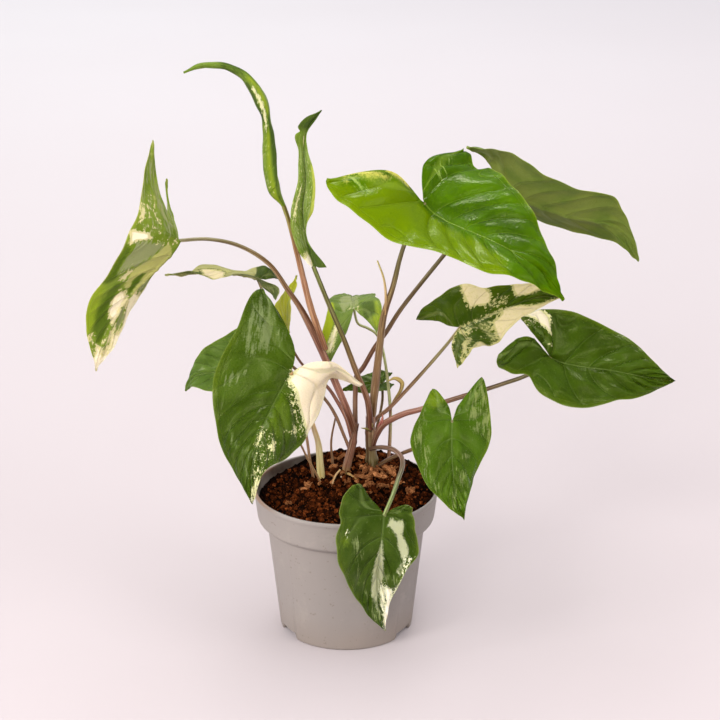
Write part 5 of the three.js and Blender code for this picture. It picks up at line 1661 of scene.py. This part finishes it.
        deep(.7, (-.3, -.1), (-.28, -.3), (-.05, -.34), (.05, -.12)),
    ],
    "thin_left": [
        light(1, (-.5, .5), (-.5, -.5), (1.1, -.5), (1.1, .5)),
        green(.55, (-.05, .2), (.3, .25), (.34, .36), (-.05, .36)),
        green(.5, (.6, .3), (.6, 0), (1.1, 0), (1.1, .3)),
        green(.95, (-.5, .5), (-.5, -.5), (-.06, -.5), (.03, 0), (-.06, .5)),
        pale(.5, (-.3, .3), (-.2, .15), (-.1, .1), (-.1, .3)),
        cream(1, (.35, .3), (.35, 0), (.62, -.1), (.62, .15)),
    ],
    "dark_left": [
        pale(.8, (.6, -.03), (.62, -.06), (.7, -.05)),
        pale(.6, (.4, -.08), (.5, -.05), (.48, -.1)),
    ],
    "yellow_back": [
        glow(1, (-.5, .5), (-.5, -.5), (1.1, -.5), (1.1, .5)),
        deep(.5, (.1, -.1), (.5, -.3), (.6, -.1)),
    ],
    "low_back": [],
}
print("marks on the grown leaves:", sum(len(marks) for marks in MARKS.values()))


# %% Grown leaves
COARSE = dict(rows=(20, 64), columns=24)
FINE = dict(rows=(36, 112), columns=42)
FINE_LEAVES = ("front_left", "far_left", "bright", "dark_right", "over_rim", "back_right")

blade_faces = 0
for order, (name, leaf) in enumerate(LEAVES.items()):
    seed = 1.3 + 0.77 * order
    fineness = FINE if name in FINE_LEAVES else COARSE
    joint = STALKS[name]["route"][-1]
    points, faces, fields = grown_blade(leaf, joint, MARKS[name], seed, **fineness)
    skin = leaf_skin(f"leaf_{name}_skin", puckered=min(1.0, leaf["pucker"]), **leaf["skin"])
    blade = make_mesh(f"leaf_{name}_lamina", points * MM, faces, skin)
    carry(blade, **fields)
    settle(blade, f"leaf_{name}_blade", 70)
    blade_faces += face_count(blade)
print("blades:", len(LEAVES), "pieces,", blade_faces, "faces")


# %% [markdown]
# ## The two young leaves
#
# A new arrowhead leaf comes out rolled round itself like a cigar and then opens. One
# here is still rolled, so it is a sheet wound along a spine, with its free margin as a
# lip. The other has opened part of the way and is folded along its midrib, so it is two
# strips hinged on a spine, with a torn notch near the top. Both follow the routes and
# widths of their solids. Their marks are placed along the spine and across the sheet.

# %% Folded leaf
TWISTED = dict(
    spine=[(-20, -8, 250), (-24, -10, 267), (-26, -11, 287), (-24, -12, 306), (-25, -12, 325),
           (-23, -13, 338), (-14, -14, 350)],
    left=[2, 6, 8, 9.2, 8.4, 7, 5.6, 4.6, 3.7, 7.2, 6, 0.4],
    right=[11, 5, 1, 2.5, 8, 8.4, 7.4, 6, 3.2, 1.2, 1.6, 0.4],
    leans=(148, 37), torn=0.84,
)
FOLD_ROWS, FOLD_COLUMNS = 150, 22
YOUNG_WIDE = 0.4             # the half width of a young blade's flat place, in leaf lengths


def about_faced(faces):
    """The same faces seen from their other side, from the same first corners."""
    return [face[:1] + face[:0:-1] for face in faces]


def folded_blade(leaf):
    centre, ahead, _ = curve_places(leaf["spine"], FOLD_ROWS + 1)
    right = unit(np.array([1.0, 0, 0]) - ahead * ahead[:, :1])
    front = np.cross(right, ahead)
    t = np.linspace(0, 1, FOLD_ROWS + 1)
    widths = [np.maximum(smooth_line(leaf[side], t), 0.25) for side in ("left", "right")]
    widths[0] = widths[0] * (1 - 0.4 * np.exp(-((t - leaf["torn"]) / 0.012) ** 2))
    shares = np.linspace(-1, 1, 2 * FOLD_COLUMNS + 1)
    columns = []
    for share in shares:
        side = 0 if share < 0 else 1
        out = abs(share)
        width = widths[side] * out
        turned = (-12 if side == 0 else 12) * (1 - abs(2 * out - 1))
        lean = math.radians(leaf["leans"][side] + turned)
        ripple = 0.35 * np.sin(t * 46 + side * 2) * out ** 3
        vein = 0.3 * np.abs(np.sin((t * 11 - out * 0.9) * math.pi)) * out * (1 - out) * 4
        columns.append(centre + right * (width * math.cos(lean))[:, None]
                       + front * (width * math.sin(lean) + ripple + vein)[:, None])
    middle = np.stack(columns, 1)
    up = np.gradient(middle, axis=0)
    over = np.gradient(middle, axis=1)
    normal = np.cross(over, up)
    normal /= np.maximum(np.linalg.norm(normal, axis=2, keepdims=True), 1e-9)
    thick = (BLADE_HALF + (EDGE_HALF - BLADE_HALF) * np.abs(shares) ** 4)[None, :, None]
    rib = 0.7 * np.exp(-(shares / 0.06) ** 2)[None, :, None] * (1 - t[:, None, None])
    points, faces = sheet((middle + normal * thick).reshape(-1, 3),
                          (middle - normal * (thick + rib)).reshape(-1, 3),
                          about_faced(grid_faces(FOLD_ROWS + 1, len(shares))))
    along = np.repeat(t[:, None], len(shares), 1).ravel()
    across = np.repeat(shares[None], len(t), 0).ravel()
    return points, faces, along, across


def young_fields(along, across, marks, seed):
    """The fields of a young blade, from its place along and across."""
    places = np.column_stack([along, across * YOUNG_WIDE])
    veins = along * 9 - np.abs(across) * 1.1, np.abs(across) * 0.9, across * 14
    return skin_fields(places, marks, seed, seed, veins)


points, faces, along, across = folded_blade(TWISTED)
twisted_skin = leaf_skin("leaf_twisted_skin", YOUNG, gloss=.34, flecks=.8, veins=.12, puckered=.8,
                         under_share=.1, grain=45)
twisted = make_mesh("leaf_twisted_lamina", points * MM, faces, twisted_skin)
twisted_marks = [
    pale(.5, (.12, -.42), (.12, .42), (.75, .42), (.75, -.42)),
    cream(.22, (.2, -.42), (.2, .42), (.72, .42), (.72, -.42)),
    cream(.62, (.3, -.32), (.3, -.25), (.5, -.18), (.56, -.24), (.42, -.32)),
    light(.8, (.3, .3), (.3, .44), (.65, .44), (.65, .32)),
    cream(.7, (.74, -.1), (.76, 0), (.85, .1), (.84, -.05)),
    deep(1, (-.05, .01), (-.05, .45), (.12, .45), (.16, .05)),
    deep(.9, (.85, -.45), (1.05, -.45), (1.05, .45), (.85, .45)),
    cream(.96, (-.05, -.45), (.08, -.45), (.11, -.1), (.03, -.01), (-.05, -.01)),
]
carry(twisted, **young_fields(along, across, twisted_marks, 4.2))
settle(twisted, "leaf_twisted_blade", 70)
print("folded leaf:", face_count(twisted), "faces")


# %% Rolled leaf
ROLLED = dict(
    spine=[(-38, -5, 288), (-43, -6, 298), (-46, -8, 315), (-47, -10, 336), (-49, -12, 350),
           (-55, -14, 364), (-60, -16, 371), (-69, -19, 377), (-78, -22, 379), (-86, -25, 379),
           (-95, -28, 376)],
    radii=[1.3, 4.3, 4.6, 4.2, 3.4, 2.7, 4.2, 3.6, 2.6, 2.2, 1.8, 0.5],
    twist=5,
)
ROLL_ROWS, ROLL_COLUMNS = 190, 64
ROLL_TURNS = (-0.45, 1.0)    # below 0 the sheet lies inside the roll
ROLLED_HALF = 0.16           # half the sheet's thickness, in millimetres


def first_normal(ahead):
    """The starting normal of a spine, square to its flattest axis."""
    axis = np.eye(3)[np.argmin(np.abs(ahead[0]))]
    return np.cross(ahead[0], unit(np.cross(ahead[0], axis)))


def rolled_blade(leaf):
    centre, ahead, _ = curve_places(leaf["spine"], ROLL_ROWS + 1)
    normals, binormals = carried_normals(ahead, first_normal(ahead))
    t = np.linspace(0, 1, ROLL_ROWS + 1)[:, None]
    radius = smooth_line(leaf["radii"], t[:, 0])[:, None]
    turn = np.linspace(*ROLL_TURNS, ROLL_COLUMNS + 1)[None]
    angle = TURN * 0.985 * turn + leaf["twist"] * t      # a narrow gap beside the lip
    lip = fade(turn, 0.86, 1.0) * (0.16 + 0.3 * np.exp(-((t - 0.56) / 0.06) ** 2))
    reach = radius * (0.74 + 0.26 * turn + lip) + 0.12 * np.sin(t * 60 + turn * 4) * (turn > 0)
    outward = (normals[:, None] * np.cos(angle)[..., None]
               + binormals[:, None] * np.sin(angle)[..., None])
    middle = centre[:, None] + outward * reach[..., None]
    points, faces = sheet((middle + outward * ROLLED_HALF).reshape(-1, 3),
                          (middle - outward * ROLLED_HALF).reshape(-1, 3),
                          about_faced(grid_faces(ROLL_ROWS + 1, ROLL_COLUMNS + 1)))
    along = np.repeat(t, ROLL_COLUMNS + 1, 1).ravel()
    across = np.repeat((turn - 0.3) / 0.7, len(t), 0).ravel()
    return points, faces, along, across


points, faces, along, across = rolled_blade(ROLLED)
rolled_skin = leaf_skin("leaf_rolled_skin", dict(YOUNG, under=("8FA030", "96A83A")), gloss=.3, flecks=.6,
                        veins=.12, puckered=.6, under_share=.1, grain=38)
rolled = make_mesh("leaf_rolled_lamina", points * MM, faces, rolled_skin)
rolled_marks = [
    glow(1, (-.02, .3), (-.02, .42), (.13, .385), (.25, .33), (.38, .28), (.45, .25), (.45, .11),
         (.38, .15), (.25, .2), (.13, .25)),
    pale(.6, (.1, .33), (.22, .27), (.34, .23), (.42, .21), (.42, .16), (.3, .2), (.14, .27)),
    cream(.2, (.05, .4), (.05, .2), (.42, .12), (.42, .22)),
    light(.7, (.03, .31), (.1, .285), (.2, .245), (.2, .225), (.1, .265), (.03, .29)),
    deep(1, (0, .43), (.13, .385), (.25, .335), (.38, .285), (.45, .25), (.5, .27), (.4, .37), (.25, .42),
         (.13, .44)),
    deep(1, (.44, .1), (.57, .05), (.68, .02), (.66, .1), (.57, .14), (.44, .19)),
    glow(1, (.46, .22), (.57, .17), (.68, .12), (.7, .18), (.6, .23), (.5, .28)),
    cream(.95, (.4, .2), (.42, .235), (.52, .2), (.64, .145), (.62, .11), (.5, .155)),
    deep(.6, (.7, .3), (.7, -.3), (.84, -.3), (.84, .3)),
]
carry(rolled, **young_fields(along, across, rolled_marks, 9.1))
settle(rolled, "leaf_rolled_blade", 70)
print("rolled leaf:", face_count(rolled), "faces")


# %% [markdown]
# ## Small things near the soil
#
# A plant that has grown in a pot for a while shows more than leaves: a pink bud in the
# angle of a stalk, pale air roots that leave the nodes and arch into the soil, and the
# tips of old sheaths that have dried and curled. They make the foot of the stems look
# alive. They are thin tubes again. The frame holds no solids for them, so they take no
# solid's place.

# %% Roots, bud and dry tips
roots = add_tubes("air_roots", None, "stalk_tan", [
    tube([(-4, 17, 101), (-7, 12, 99), (-9, 9, 94), (-9.5, 8, 88)], [0.7, 0.8, 0.7, 0.5],
         "C9A878 B08A5C 8A6444", sides=10, seed=51, spacing=0.8),
    tube([(1, 18, 98), (5, 15, 97), (8, 13, 94), (9, 12, 88)], [0.8, 0.7, 0.6],
         "D8B878 C99A50 9A7040", sides=10, seed=52, spacing=0.8),
    tube([(-3, 18, 96), (-2.5, 15, 92), (-3, 13, 87)], [0.8, 0.7, 0.5],
         "E0D4B8 C9B088", sides=10, seed=53, spacing=0.8),
])
bud = add_tubes("pink_bud", None, "stalk_pink", [
    tube([(20, 19.5, 129), (22, 17, 133), (23.5, 15.5, 137), (24, 15, 141)], [0.6, 1.3, 1.1, 0.3],
         "7A4440 B0605C C07C6C", sides=14, seed=54, spacing=0.6),
])
dry_tips = add_tubes("dry_tips", None, "stalk_tan", [
    tube([(28.5, 35.5, 130), (31, 35, 142), (36, 34, 151), (36.5, 34, 156), (32, 34, 159),
          (27.5, 34, 157)], [0.6, 0.6, 0.7, 1.3, 1.6, 0.3],
         "9A6A54 8C7444 A89050 B8A060", sides=12, seed=56, spacing=0.8),
    tube([(16, 23.5, 126), (13.5, 21, 128.5), (9.8, 20.5, 129.4)], [1.0, 0.9, 0.2],
         "6E6838 8A8448 A8A060", sides=10, seed=57, spacing=0.5),
    tube([(16, 23, 128), (17.5, 20.5, 131), (16.5, 20, 134)], [0.9, 0.7, 0.2],
         "6E6838 8A7A48 B09868", sides=10, seed=58, spacing=0.5),
])
print("small pieces:", face_count(roots, bud, dry_tips), "faces")
